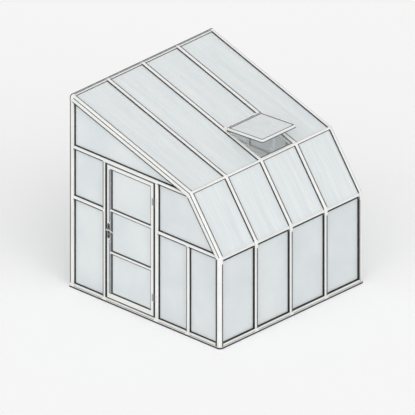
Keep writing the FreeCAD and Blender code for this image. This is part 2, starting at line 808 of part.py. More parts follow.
def door_stiles():
    through = ("-1", "door_thick + 1")
    latch = leaf_piece("door_stile_latch")
    latch.pad("XY", [[(x, minus(u)) for x, u in leaf_section()]], "0", "leaf_high")
    in_y = "-stile_wide - 1"
    in_z = "stile_wide + 1"
    latch.cut("YZ", [[("0", "leaf_high"), (in_y, f"leaf_high - ({in_z})"), (in_y, "leaf_high")]], *through)
    latch.cut("YZ", [[("0", "0"), (in_y, "0"), (in_y, in_z)]], *through)
    case_low = "plate_z - case_long/2"
    case_high = "plate_z + case_long/2"
    latch.cut("XZ", [box("door_thick/2 - 9", case_low, "door_thick/2 + 9", case_high)], "-48", "1")
    latch.cut("XZ", [box("door_thick/2 - 11", f"{case_low} - 15", "door_thick/2 + 11", f"{case_high} + 15")],
              "-2.5", "1")
    holes = [[("-lock_set", "lever_z", "neck_radius - 2")], [("-lock_set", "lock_z", "neck_radius")]]
    latch.cut("YZ", holes, *through)
    hinge = leaf_piece("door_stile_hinge")
    hinge.pad("XY", [[(x, f"{u} - leaf_wide") for x, u in leaf_section()]], "0", "leaf_high")
    edge = "-leaf_wide"
    in_y = f"{edge} + stile_wide + 1"
    hinge.cut("YZ", [[(edge, "leaf_high"), (in_y, f"leaf_high - ({in_z})"), (in_y, "leaf_high")]], *through)
    hinge.cut("YZ", [[(edge, "0"), (in_y, "0"), (in_y, in_z)]], *through)


def mid_section(height):
    """Mid rail section about its own centre line."""
    slot_end = "door_slot_set + slot_wide"
    upper = [("door_mid_drop", "door_mid_face/2"), ("door_bevel", "mid_half"), ("door_slot_set", "mid_half"),
             ("door_slot_set", "mid_half - slot_deep"), (slot_end, "mid_half - slot_deep"),
             (slot_end, "mid_half"), ("door_thick", "mid_half")]
    lower = [(x, minus(v)) for x, v in reversed(upper)]
    return [(x, f"{height} + {v}") for x, v in upper + lower]


def door_rails():
    piece = leaf_piece("door_rails")
    through = ("-1", "door_thick + 1")
    section = leaf_section()
    piece.pad("XZ", [section], "-leaf_wide", "0")
    piece.pad("XZ", [[(x, f"leaf_high - ({u})") for x, u in section]], "-leaf_wide", "0")
    reach = "stile_wide + 1"
    for edge, sign in (("0", "-"), ("-leaf_wide", "+")):
        inner = f"{edge} {sign} ({reach})"
        piece.cut("YZ", [[(edge, "0"), (inner, reach), (edge, reach)]], *through)
        piece.cut("YZ", [[(edge, "leaf_high"), (inner, f"leaf_high - ({reach})"),
                          (edge, f"leaf_high - ({reach})")]], *through)
    middles = ("stile_wide + leaf_pane + mid_half", "stile_wide + 2*leaf_pane + 3*mid_half")
    for height in middles:
        piece.pad("XZ", [mid_section(height)], "door_face - leaf_wide", "-door_face")
    # The ends of the two middle rails are shaped to the sloping faces of the stiles.
    cope = [("-1", "door_face - 10"), ("-1", "door_face - 1"), ("door_bevel", "stile_wide"),
            ("door_thick + 1", "stile_wide"), ("door_thick + 1", "door_face - 10")]
    for height in middles:
        low = f"{height} - mid_half - 1"
        high = f"{height} + mid_half + 1"
        piece.cut("XY", [[(x, minus(u)) for x, u in cope]], low, high)
        piece.cut("XY", [[(x, f"{u} - leaf_wide") for x, u in cope]], low, high)


def door_panes():
    piece = leaf_piece("door_panes")
    edge = "stile_wide - pane_cover"
    face = "door_slot_set + slot_wide"
    for step in range(3):
        low = f"stile_wide + {step}*(leaf_pane + 2*mid_half) - pane_cover"
        view = box(f"{edge} - leaf_wide", low, minus(edge), f"{low} + leaf_pane + 2*pane_cover")
        piece.pad("YZ", [view], f"{face} - pane_thick", face)
    return piece


HINGE_LEVELS = ("leaf_low + hinge_from_end", "leaf_low + leaf_high - hinge_from_end")


def door_hinges():
    third = "hinge_long/3"
    clear = "hinge_radius + 1.2"
    bore = "pin_radius + run_gap"
    fixed = Piece("door_hinges_fixed", x="hinge_x", y="hinge_y")
    moving = Piece("door_hinges_moving", x="hinge_x", y="hinge_y")
    for level in HINGE_LEVELS:
        low = f"{level} - hinge_long/2"
        plate = ("-hinge_leaf/2", "hinge_leaf/2")
        fixed.pad("XY", [box(plate[0], "-38", plate[1], minus(clear))], low, f"{low} + hinge_long")
        for start in (low, f"{low} + 2*{third} + 0.3"):
            stop = f"{start} + {third} - 0.3"
            fixed.pad("XY", [box(plate[0], f"-{clear} - 1", plate[1], "-pin_radius - 1")], start, stop)
            fixed.pad("XY", [[("0", "0", "hinge_radius")]], start, stop)
        fixed.cut("XY", [[("0", "0", bore)]], f"{low} - 1", f"{low} + hinge_long + 1")
        plate = ("hinge_leaf/2", "hinge_leaf/2 + door_set")
        moving.pad("XY", [box(plate[0], clear, plate[1], "42")], low, f"{low} + hinge_long")
        start = f"{low} + {third} + 0.3"
        stop = f"{low} + 2*{third} - 0.3"
        moving.pad("XY", [box(plate[0], "pin_radius + 1", plate[1], f"{clear} + 1")], start, stop)
        moving.pad("XY", [[("0", "0", "hinge_radius")]], start, stop)
        moving.cut("XY", [[("0", "0", bore)]], f"{low} - 1", f"{low} + hinge_long + 1")


def hinge_pins():
    piece = Piece("hinge_pins")
    for level in HINGE_LEVELS:
        low = f"{level} - hinge_long/2"
        piece.pad("XY", [[("hinge_x", "hinge_y", "pin_radius")]], low, f"{low} + hinge_long")
        for end in (f"{low} - 3", f"{low} + hinge_long"):
            piece.pad("XY", [[("hinge_x", "hinge_y", "hinge_radius - 1")]], end, f"{end} + 3")
    for way in ("-vent_hinge_out", "vent_hinge_out"):
        centre = f"vent_x + {way}"
        piece.pad("YZ", [[("vent_y", "vent_z", "pin_radius")]], f"{centre} - 28", f"{centre} + 28")


def door_edges():
    """Threshold, stops with their seals, and the strike plate."""
    open_back = from_wall("door_from_wall")
    open_front = from_wall("door_from_wall + door_open")
    strip = Piece("door_threshold")
    x0, x1 = across(-1, "2", "gable_wide - 8")
    strip.pad("XY", [box(x0, f"{open_front} + 1", x1, f"{open_back} - 1")], "base_high", "base_high + 4")
    lap = "door_side_gap + stop_reach"
    head = "head_low - door_top_gap - stop_reach"
    inner = "door_set + door_thick"
    seal = across(-1, f"{inner} + fit_gap", f"{inner} + fit_gap + stop_seal")
    stop = across(-1, f"{inner} + fit_gap + stop_seal", "gable_wide")
    for label, span in (("door_stops", stop), ("door_stop_seals", seal)):
        piece = Piece(label)
        piece.pad("YZ", [box(f"{open_back} - ({lap})", "base_high", open_back, "head_low")], *span)
        piece.pad("YZ", [box(open_front, "base_high", f"{open_front} + {lap}", "head_low")], *span)
        piece.pad("YZ", [box(f"{open_front} + {lap} + 0.2", head, f"{open_back} - ({lap}) - 0.2", "head_low")], *span)
    plate = Piece("strike_plate", x="-side_x + door_set", y=open_back, z="leaf_low")
    low = "bolt_z - 50"
    high = "lever_z + 40"
    plate.pad("XZ", [box("door_thick/2 - 10", low, "door_thick/2 + 10", high)], "-2", "0")
    plate.cut("XZ", [box("door_thick/2 - 7", "bolt_z - 12", "door_thick/2 + 7", "bolt_z + 12")], "-3", "1")


def handle_plates():
    piece = leaf_piece("handle_plates")
    low = "plate_z - plate_long/2"
    high = "plate_z + plate_long/2"
    back = "-lock_set - plate_wide/2"
    front = "-lock_set + plate_wide/2"
    holes = [[("-lock_set", "lever_z", "neck_radius + fit_gap")], [("-lock_set", "lock_z", "neck_radius")]]
    spans = (("-plate_thick", "0"), ("door_thick", "door_thick + plate_thick"))
    for span in spans:
        piece.pad("YZ", [box(back, low, front, high)], *span)
    for start, stop in spans:
        piece.cut("YZ", holes, f"{start} - 1", f"{stop} + 1")
    ends = [(x, y, z) for x in ("-plate_thick/2", "door_thick + plate_thick/2")
            for y in (back, front) for z in (low, high)]
    piece.round_off("plate_wide/2 - 1", ends)
    faces = [(x, y, "plate_z") for x in ("-plate_thick", "door_thick + plate_thick") for y in (back, front)]
    piece.round_off("plate_thick/2 - 1", faces)


def lever(label, side):
    """Lever with a round neck and a grip that waves down to its tip."""
    piece = leaf_piece(label)
    face = "0" if side < 0 else "door_thick"
    sign = "-" if side < 0 else "+"
    grip = f"{face} {sign} lever_out"
    # The grip is skinned through round sections that rise, then sweep down.
    rise = ("0", "0", "4", "0", "-lever_drop*0.6", "-lever_drop")
    thin = ("8.4", "8.8", "7.6", "6.8", "6.4", "5")
    sections = []
    for step, (up, radius) in enumerate(zip(rise, thin)):
        along = "-lock_set + neck_radius + 2" if step == 0 else f"-lock_set - lever_long*{step}/5"
        sections.append((along, grip, f"lever_z + {up}", radius))
    piece.loft(sections)
    neck = sorted((f"{face} {sign} 1", f"{grip} {sign} 2"), key=number)
    piece.pad("YZ", [[("-lock_set", "lever_z", "neck_radius")]], *neck)
    socket = box("-lock_set - spindle_side/2", "lever_z - spindle_side/2",
                 "-lock_set + spindle_side/2", "lever_z + spindle_side/2")
    ends = (f"{face} - 19", f"{face} + 0.5") if side < 0 else (f"{face} - 0.5", f"{face} + 19")
    piece.cut("YZ", [socket], *ends)


def lever_spindle():
    piece = leaf_piece("lever_spindle")
    half = "(spindle_side/2 - run_gap)"
    view = box(f"-lock_set - {half}", f"lever_z - {half}", f"-lock_set + {half}", f"lever_z + {half}")
    piece.pad("YZ", [view], "-19", "door_thick + 19")


def lock_parts():
    case = leaf_piece("lock_case")
    low = "plate_z - case_long/2 + fit_gap"
    high = "plate_z + case_long/2 - fit_gap"
    side = "9 - fit_gap"
    case.pad("XZ", [box(f"door_thick/2 - ({side})", low, f"door_thick/2 + {side}", high)], "-47.5", "-2.5")
    rim = "11 - fit_gap"
    case.pad("XZ", [box(f"door_thick/2 - ({rim})", f"{low} - 15", f"door_thick/2 + {rim}", f"{high} + 15")],
             "-2.5", "0")
    case.cut("XZ", [box("door_thick/2 - 6", "lever_z - 8", "door_thick/2 + 6", "lever_z + 8")], "-27", "1")
    case.cut("XZ", [box("door_thick/2 - 5", "bolt_z - 10", "door_thick/2 + 5", "bolt_z + 10")], "-34", "1")
    holes = [[("-lock_set", "lever_z", "neck_radius - 2")], [("-lock_set", "lock_z", "neck_radius")]]
    case.cut("YZ", holes, "0", "door_thick")
    slack = "run_gap"
    latch = leaf_piece("latch_bolt")
    latch.pad("XZ", [box(f"door_thick/2 - 6 + {slack}", f"lever_z - 8 + {slack}",
                         f"door_thick/2 + 6 - {slack}", f"lever_z + 8 - {slack}")], "-11", "latch_reach")
    latch.round_off("5", [(f"door_thick/2 + {way}", "latch_reach", "lever_z") for way in ("6", "-6")])
    bolt = leaf_piece("dead_bolt")
    bolt.pad("XZ", [box(f"door_thick/2 - 5 + {slack}", f"bolt_z - 10 + {slack}",
                        f"door_thick/2 + 5 - {slack}", f"bolt_z + 10 - {slack}")], "-bolt_long - 0.5", "-0.5")
    barrel = leaf_piece("lock_cylinder")
    outer = "neck_radius - fit_gap"
    barrel.pad("YZ", [[("-lock_set", "lock_z", outer)]], "-plate_thick - 2", "door_thick + plate_thick + 2")
    barrel.cut("YZ", [[("-lock_set", "lock_z", "5 + run_gap")]], "-plate_thick - 3", "door_thick + plate_thick + 3")
    plug = leaf_piece("lock_plug")
    plug.pad("YZ", [[("-lock_set", "lock_z", "5")]], "-plate_thick - 2.5", "door_thick + plate_thick + 6")
    key_way = box("-lock_set - 0.8", "lock_z - 4", "-lock_set + 0.8", "lock_z + 2")
    plug.cut("YZ", [key_way], "-plate_thick - 3", "-plate_thick + 14")
    sides = ("-lock_set - turn_wide/2", "-lock_set + turn_wide/2")
    ends = ("lock_z - turn_long/2", "lock_z + turn_long/2")
    thumb_turn = box(sides[0], ends[0], sides[1], ends[1])
    plug.pad("YZ", [thumb_turn], "door_thick + plate_thick + 3", "door_thick + plate_thick + 19")
    plug.round_off("turn_wide/2 - 0.5", [("door_thick + plate_thick + 12", y, z) for y in sides for z in ends])


# Roof vent
def vent_frame():
    """Fixed bars around the vent opening."""
    low = "vent_reach - 8"
    high = f"{low} + vent_header_wide"
    x0 = "vent_x - bay_clear/2"
    x1 = "vent_x + bay_clear/2"
    header = Piece("vent_header")
    header.pad("YZ", [[roof(low, "seat"), roof(high, "seat"), roof(high, "bar_deep"), roof(low, "bar_deep")]], x0, x1)
    kerb = Piece("vent_kerb")
    end = f"{low} - 2"
    for near, far in ((f"{x0} - 11", f"{x0} + 10"), (f"{x1} - 10", f"{x1} + 11")):
        kerb.pad("YZ", [[roof("50", "roof_set"), roof(end, "roof_set"), roof(end, "seat"), roof("50", "seat")]],
                 near, far)
    kerb.pad("YZ", [[roof("12", "roof_set"), roof("46", "roof_set"), roof("46", "seat"), roof("12", "seat")]],
             f"{x0} - 9", f"{x1} + 9")


def purlin_caps():
    piece = Piece("purlin_caps")
    for step in range(4):
        centre = f"{step - 1.5}*bay_pitch"
        piece.pad("YZ", [purlin_cap_loop()], f"{centre} - bay_clear/2", f"{centre} + bay_clear/2")
    low = "vent_reach - 6"
    high = "vent_reach - 8 + vent_header_wide"
    loop = [roof(low, "2"), roof(high, "2"), roof(high, "roof_set"), roof(f"{low} + 30", "roof_set"),
            roof(f"{low} + 30", "seat"), roof(low, "seat")]
    piece.pad("YZ", [loop], "vent_x - bay_clear/2", "vent_x + bay_clear/2")


def sash_piece(label):
    """Vent piece drawn about the hinge line, turned to the open position."""
    return Piece(label, x="vent_x", y="vent_y", z="vent_z", turn="vent_turn")


def vent_sash():
    piece = sash_piece("vent_sash")
    far = "-vent_end - vent_long"
    piece.pad("XY", [box("-vent_half", far, "vent_half", "-vent_end")], "sash_low", "sash_top")
    inner = ("-vent_half + vent_rim", f"{far} + vent_rim", "vent_half - vent_rim", "-vent_end - vent_rim")
    piece.cut("XY", [box(*inner)], "sash_low - 1", "sash_top + 1")
    ledge = (f"{inner[0]} - vent_rebate", f"{inner[1]} - vent_rebate",
             f"{inner[2]} + vent_rebate", f"{inner[3]} + vent_rebate")
    piece.cut("XY", [box(*ledge)], "sash_top - 6", "sash_top + 1")
    middle_z = "(sash_low + sash_top)/2"
    piece.round_off("vent_corner", [(x, far, middle_z) for x in ("-vent_half", "vent_half")])
    rim_top = [("0", far, "sash_top"), ("vent_half", "-vent_long/2", "sash_top"),
               ("-vent_half", "-vent_long/2", "sash_top")]
    piece.round_off("cap_round", rim_top[:1])
    pane = sash_piece("vent_pane")
    slack = "0.5"
    pane.pad("XY", [box(f"{ledge[0]} + {slack}", f"{ledge[1]} + {slack}", f"{ledge[2]} - {slack}",
                        f"{ledge[3]} - {slack}")], "sash_top - 6", "sash_top - 2")
    seal = sash_piece("vent_seal")
    outer = ("-vent_half + 4", f"{far} + 45", "vent_half - 4", "-vent_end - 4")
    ring_in = ("-vent_half + 16", f"{far} + 46", "vent_half - 16", "-vent_end - 16")
    for x0, x1 in ((outer[0], ring_in[0]), (ring_in[2], outer[2])):
        seal.pad("XY", [box(x0, outer[1], x1, outer[3])], "sash_low - vent_lift + fit_gap", "sash_low")


def vent_hinges():
    base = Piece("vent_hinge_bases", x="vent_x", y="vent_y", z="vent_z", turn="roof_slope")
    leaf = sash_piece("vent_hinge_leaves")
    bore = "pin_radius + run_gap"
    foot = "-vent_axis_up - 2"
    for way in ("-vent_hinge_out", "vent_hinge_out"):
        for near, far in (("-26", "-12.5"), ("12.5", "26")):
            span = (f"{way} + {near}", f"{way} + {far}")
            base.pad("YZ", [[("0", "0", "6")]], *span)
            base.pad("YZ", [[("-4", foot), ("34", foot), ("34", f"{foot} + 3"), ("8", f"{foot} + 3"),
                             ("4", "0"), ("-4", "0")]], *span)
            base.cut("YZ", [[("0", "0", bore)]], f"{way} + {near} - 1", f"{way} + {far} + 1")
        base.pad("XY", [box(f"{way} - 13", "14", f"{way} + 13", "34")], foot, f"{foot} + 3")
        leaf.pad("YZ", [[("0", "0", "6")]], f"{way} - 12", f"{way} + 12")
        leaf.pad("YZ", [box("-vent_end", "-4", "-4", "4")], f"{way} - 12", f"{way} + 12")
        leaf.cut("YZ", [[("0", "0", bore)]], f"{way} - 13", f"{way} + 13")


def vent_stay():
    bracket = sash_piece("stay_bracket")
    far = "-vent_end - vent_long + vent_rim"
    near = "-stay_from_hinge"
    ear = "stay_thick/2 + 1"
    bracket.pad("XZ", [box("-18", "sash_low + 1", "18", "sash_low + 22")], far, f"{far} + 3")
    for x0, x1 in ((f"-({ear}) - 3", f"-({ear})"), (ear, f"{ear} + 3")):
        bracket.pad("YZ", [box(f"{far} + 3", "-10", f"{near} + 7", "4")], x0, x1)
    bracket.pad("YZ", [[(near, "-stay_pivot_drop", "pin_radius")]], f"-({ear}) - 3", f"{ear} + 3")
    stay = Piece("vent_stay", x="vent_x", y="stay_y", z="stay_z")
    half = "stay_wide/2"
    thin = ("-stay_thick/2", "stay_thick/2")
    stay.pad("YZ", [box(f"-{half}", "-stay_long", half, half)], *thin)
    stay.cut("YZ", [[("0", "0", "pin_radius + run_gap")]], "-stay_thick", "stay_thick")
    holes = [[("0", f"-stay_long + 20 + 40*{step}", "4")] for step in range(7)]
    stay.cut("YZ", holes, "-stay_thick", "stay_thick")
    ends = [("0", y, z) for y in (f"-{half}", half) for z in ("-stay_long", half)]
    stay.round_off("stay_wide/2 - 1", ends)
    guide = Piece("stay_guide", x="vent_x", y="knee_y", z="knee_height", turn="roof_slope")
    guide.pad("XZ", [box("-18", "-bar_deep + 4", "18", "-seat - 6")], "purlin_half", "purlin_half + 3")
    level = ("-guide_set - 1.5", "-guide_set + 1.5")
    guide.pad("XY", [box("-10", "purlin_half + 3", "10", "stay_along + stay_wide/2 + 47")], *level)
    guide.cut("XY", [box("-stay_thick/2 - 1", "stay_along - stay_wide/2 - 9", "stay_thick/2 + 1",
                         "stay_along + stay_wide/2 + 40")],
              "-guide_set - 5", "-guide_set + 5")


def build_all():
    base_rail_front()
    base_rail_side("base_rail_left", -1)
    base_rail_side("base_rail_right", 1)
    base_corners()
    wall_posts()
    corner_posts()
    front_mullions()
    inner_rafters("steep_rafters_inner", steep_band)
    inner_rafters("roof_rafters_inner", roof_band)
    gable_rafters("steep_rafters_gable", steep_band, STEEP_TOP, steep("steep_long/2", "gable_deep"))
    gable_rafters("roof_rafters_gable", roof_band, ROOF_TOP, roof("roof_long/2", "gable_deep"))
    rafter_caps()
    frame_joiners()
    bay_rails("eave_rails", eave_loop())
    bay_rails("knee_purlins", purlin_loop())
    bay_rails("wall_rails", wall_loop())
    purlin_caps()
    gable_head_rails()
    gable_mid_rails()
    door_posts()
    gable_uprights()
    front = front_panes()
    gable = gable_panes()
    sloped = steep_panes()
    upper = roof_panes()
    door_stiles()
    door_rails()
    leaf = door_panes()
    door_hinges()
    hinge_pins()
    door_edges()
    handle_plates()
    lever("lever_outside", -1)
    lever("lever_inside", 1)
    lever_spindle()
    lock_parts()
    vent_frame()
    vent_sash()
    vent_hinges()
    vent_stay()
    DOC.recompute()
    wall_reach = number("pane_cover + seal_lip")
    wall_thick = number("slot_wide - pane_thick")
    roof_thick = number("slot_wide - roof_pane")
    roof_reach = number("pane_cover + seal_lip - 2")
    steep_up = Vector(0, -number("steep_sin"), number("steep_cos"))
    roof_up = Vector(0, -number("roof_sin"), number("roof_cos"))
    eave_way = Vector(0, -number("steep_cos"), -number("steep_sin"))
    seal_node("wall_seals", [(front.body, Vector(0, -1, 0), wall_thick, wall_reach, None),
                             (gable.body, None, wall_thick, wall_reach, None)])
    seal_node("roof_seals", [(sloped.body, steep_up, roof_thick, roof_reach, eave_way),
                             (upper.body, roof_up, roof_thick, roof_reach, None)])
    seal_node("door_pane_seals", [(leaf.body, Vector(-1, 0, 0), wall_thick, wall_reach, None)])
    DOC.recompute()


def write_all():
    os.makedirs("parts", exist_ok=True)
    faults = [item.Label for item in DOC.Objects if "Invalid" in item.State or "Error" in item.State]
    for piece in PIECES:
        shape = piece.Shape
        if shape.isNull() or not shape.isValid() or not shape.Solids:
            faults.append(piece.Label)
    if faults:
        raise RuntimeError("not sound: " + ", ".join(faults))
    for piece in PIECES:
        piece.Shape.exportStep(f"parts/{piece.Label}.step")


build_all()
write_all()
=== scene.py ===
import json
import math

import bmesh
import bpy
from mathutils import Matrix, Vector


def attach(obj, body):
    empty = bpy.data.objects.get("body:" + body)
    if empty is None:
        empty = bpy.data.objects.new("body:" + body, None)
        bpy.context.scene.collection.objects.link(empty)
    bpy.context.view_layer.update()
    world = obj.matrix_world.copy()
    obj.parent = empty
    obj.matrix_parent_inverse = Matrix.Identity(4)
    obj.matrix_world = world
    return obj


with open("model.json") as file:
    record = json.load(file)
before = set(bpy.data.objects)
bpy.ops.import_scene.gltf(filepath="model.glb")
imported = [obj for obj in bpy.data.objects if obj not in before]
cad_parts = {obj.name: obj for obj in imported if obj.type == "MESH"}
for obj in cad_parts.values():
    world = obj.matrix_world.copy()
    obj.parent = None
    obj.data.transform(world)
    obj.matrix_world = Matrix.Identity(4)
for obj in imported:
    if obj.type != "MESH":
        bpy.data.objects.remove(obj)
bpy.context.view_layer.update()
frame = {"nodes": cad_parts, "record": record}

# Sizes of the sunroom in metres, as in the part's own source
SIDE_X = 1.292
FRONT_Y = 1.282
WALL_Y = 1.290
TOP_Z = 2.660
EAVE_Z = 1.250
EAVE_DEEP = 0.040
KNEE_Y = -0.760
KNEE_Z = 1.990
BASE_HIGH = 0.055
BASE_STEP = 0.008
BASE_FLANGE = 0.022
BAR_WIDE = 0.045
GABLE_WIDE = 0.055
GABLE_DEEP = 0.078
WALL_POST_DEEP = 0.060
POST_WIDE = 0.050
GLASS_SET = 0.034
BAY_CLEAR = 0.58475
BAY_PITCH = BAY_CLEAR + BAR_WIDE
HEAD_LOW = 1.925
HEAD_TOP = 1.970
MID_LOW = 1.230
MID_TOP = 1.275
DOOR_FROM_WALL = 0.612
DOOR_OPEN = 0.840
DOOR_SIDE_GAP = 0.0175
MULLION_FROM_WALL = 1.990
RIGHT_FIRST = 0.630
RIGHT_PITCH = 0.625
EDGE_ROUND = 0.009
CORNER_ROUND = 0.036
GABLE_LOW_ROUND = 0.013
CAP_ROUND = 0.005
ROOF_SET = 0.014

# The two roof slopes, and how a face that is set in moves along the mitres at knee and eave
ROOF_LONG = math.hypot(WALL_Y - KNEE_Y, TOP_Z - KNEE_Z)
ROOF_COS = (WALL_Y - KNEE_Y)/ROOF_LONG
ROOF_SIN = (TOP_Z - KNEE_Z)/ROOF_LONG
ROOF_SLOPE = math.asin(ROOF_SIN)
STEEP_LONG = math.hypot(KNEE_Y + FRONT_Y, KNEE_Z - EAVE_Z)
STEEP_COS = (KNEE_Y + FRONT_Y)/STEEP_LONG
STEEP_SIN = (KNEE_Z - EAVE_Z)/STEEP_LONG
STEEP_SLOPE = math.asin(STEEP_SIN)
KNEE_SUM = 1 + ROOF_SIN*STEEP_SIN + ROOF_COS*STEEP_COS
KNEE_IN_Y = (ROOF_SIN + STEEP_SIN)/KNEE_SUM
KNEE_IN_Z = (ROOF_COS + STEEP_COS)/KNEE_SUM
EAVE_IN_Z = STEEP_COS/(1 + STEEP_SIN)

# Bars along the front, and bars of the gables as distances from the wall
MULLION_X = (-BAY_PITCH, 0.0, BAY_PITCH)
BAY_CENTRES = [(bay - 1.5)*BAY_PITCH for bay in range(4)]
LATCH_POST = DOOR_FROM_WALL - POST_WIDE
HINGE_POST_END = DOOR_FROM_WALL + DOOR_OPEN + POST_WIDE
CORNER_POST = WALL_Y + FRONT_Y - GABLE_DEEP
RIGHT_BARS = [RIGHT_FIRST + bar*RIGHT_PITCH for bar in range(3)]
# How many bays of the left and the right gable have an upper pane below the head rail.
TALL_BAYS = {-1: 1, 1: 2}

# Door
LEAF_FACE_X = -1.289
LEAF_THICK = 0.044
LEAF_HINGE_Y = -0.1445
LEAF_LATCH_Y = 0.6605
LEAF_LOW = 0.063
LEAF_TOP = 1.918
LEAF_BAR = 0.070
LEAF_MID_BAR = 0.042
LEAF_PANE = (LEAF_TOP - LEAF_LOW - 2*LEAF_BAR - 2*LEAF_MID_BAR)/3
HANDLE_Y = 0.6275
HANDLE_Z = 0.996
HANDLE_PLATE = 0.006
HINGE_LEVELS = (0.326, 1.655)
HINGE_LEAF = 0.003
HINGE_X = -SIDE_X - HINGE_LEAF/2
HINGE_Y = LEAF_HINGE_Y - DOOR_SIDE_GAP/2

# Vent: its axis in the frame, then its sash measured from that axis
VENT_BAY = 2
VENT_REACH = 0.640
VENT_AXIS_UP = 0.014
VENT_HEADER_END = 0.691
VENT_X = BAY_CENTRES[VENT_BAY]
VENT_Y = KNEE_Y + VENT_REACH*ROOF_COS - VENT_AXIS_UP*ROOF_SIN
VENT_Z = KNEE_Z + VENT_REACH*ROOF_SIN + VENT_AXIS_UP*ROOF_COS
VENT_DRAWN_OPEN = math.radians(21.5)
VENT_TURN = ROOF_SLOPE - VENT_DRAWN_OPEN
SASH_HALF = BAY_PITCH/2 - 0.002
SASH_BACK = -0.010
SASH_END = -0.628
SASH_TOP = 0.022
SASH_RIM = 0.022
SASH_CORNER = 0.040

# Trims: how far they keep from the face below, from a pane and from what stops them
TRIM_GAP = 0.0002
PANE_GAP = 0.0003
END_GAP = 0.001
SHARP_ROUND = 0.004
COVER_SKIN = 0.0016
COVER_DEEP = 0.011
EAVE_COVER_LOW = 1.168
EAVE_COVER_ARM = 0.058
KNEE_COVER_DOWN = 0.056
KNEE_COVER_UP = 0.052
WALL_COVER_ARM = 0.060
WALL_COVER_DEEP = 0.077
GUSSET_ROUND = 0.032
GUSSET_GAP = 0.0018
GUSSET_FRONT = 0.012
GUSSET_BACK = 0.030
SHADOW_STRIP_HIGH = 0.018
ROOF_REACH = SIDE_X - GABLE_WIDE - END_GAP


# Nodes
def add(tree, kind, inputs=None, out=0, **settings):
    """New node; an input takes a value or an output. Gives one output, or the node where out is None."""
    node = tree.nodes.new(kind)
    for name, value in settings.items():
        setattr(node, name, value)
    for name, value in (inputs or {}).items():
        if isinstance(value, bpy.types.NodeSocket):
            tree.links.new(value, node.inputs[name])
        else:
            node.inputs[name].default_value = value
    return node if out is None else node.outputs[out]


def colour(text):
    """Linear colour from an sRGB hex value."""
    parts = [int(text[i:i + 2], 16)/255 for i in (1, 3, 5)]
    return [v/12.92 if v <= 0.04045 else ((v + 0.055)/1.055)**2.4 for v in parts] + [1.0]


def per_metre(millimetres):
    """Scale of a noise whose patches are about this large."""
    return 1000/millimetres


def new_material(name):
    """Material with an empty tree, and the object coordinates in that tree."""
    material = bpy.data.materials.new(name)
    material.use_nodes = True
    tree = material.node_tree
    tree.nodes.clear()
    place = add(tree, "ShaderNodeTexCoord", out="Object")
    return material, tree, place


def close_material(material, tree, sockets):
    """Shader with these sockets, led to the material's output."""
    shader = add(tree, "ShaderNodeBsdfPrincipled", sockets)
    add(tree, "ShaderNodeOutputMaterial", {"Surface": shader}, out=None)
    return material


# Materials
def extruded_resin(name, feature, turn=0.0):
    """Satin white extruded resin: die streaks along the bar, dust near the ground, painted shade in the
    joints.
    """
    material, tree, place = new_material(name)
    local = add(tree, "ShaderNodeMapping", {"Vector": place, "Rotation": (turn, 0, 0), "Scale": feature},
                vector_type="TEXTURE")
    streak = add(tree, "ShaderNodeTexNoise", {"Vector": local, "Scale": 1.0, "Detail": 2.0})
    # The tone changes slowly along the bars.
    tone = add(tree, "ShaderNodeTexNoise", {"Vector": place, "Scale": per_metre(345), "Detail": 3.0})
    tone = add(tree, "ShaderNodeMapRange", {"Value": tone, "From Min": 0.35, "From Max": 0.65})
    body = add(tree, "ShaderNodeMix", {0: tone, 6: colour("#f5f5f2"), 7: colour("#ecedea")},
               out=2, data_type="RGBA")
    lines = add(tree, "ShaderNodeMapRange", {"Value": streak, "From Min": 0.4, "From Max": 0.75,
                                             "To Max": 0.35})
    body = add(tree, "ShaderNodeMix", {0: lines, 6: body, 7: colour("#dcdedc")}, out=2, data_type="RGBA")
    # Splashed dust fades out 160 mm above the ground.
    height = add(tree, "ShaderNodeSeparateXYZ", {0: place}, out=2)
    low = add(tree, "ShaderNodeMapRange", {"Value": height, "From Min": 0.0, "From Max": 0.16,
                                           "To Min": 0.4, "To Max": 0.0})
    spots = add(tree, "ShaderNodeTexNoise", {"Vector": place, "Scale": per_metre(26.3), "Detail": 5.0})
    splash = add(tree, "ShaderNodeMath", {0: low, 1: spots}, operation="MULTIPLY")
    body = add(tree, "ShaderNodeMix", {0: splash, 6: body, 7: colour("#bdb9ae")}, out=2, data_type="RGBA")
    # Painted shade: the resin darkens within 20 mm of an inner corner, where shade falls.
    shade = add(tree, "ShaderNodeAmbientOcclusion", {"Distance": 0.02}, out="AO", samples=8)
    painted_corner_shade = add(tree, "ShaderNodeMapRange", {"Value": shade, "From Min": 0.25, "From Max": 0.85,
                                             "To Min": 0.6, "To Max": 0.0})
    body = add(tree, "ShaderNodeMix", {0: painted_corner_shade, 6: body, 7: colour("#7d7d7a")}, out=2, data_type="RGBA")
    rough = add(tree, "ShaderNodeMapRange", {"Value": streak, "To Min": 0.30, "To Max": 0.46})
    # Orange peel is about 2 mm wide; it is drawn at 6.25 mm so that it shows.
    peel = add(tree, "ShaderNodeTexNoise", {"Vector": place, "Scale": per_metre(6.25), "Detail": 1.0})
    relief = add(tree, "ShaderNodeMath", {0: streak, 1: peel}, operation="ADD")
    bump = add(tree, "ShaderNodeBump", {"Strength": 0.12, "Distance": 0.0006, "Height": relief})
    return close_material(material, tree, {"Base Color": body, "Roughness": rough, "IOR": 1.53,
                                           "Normal": bump})


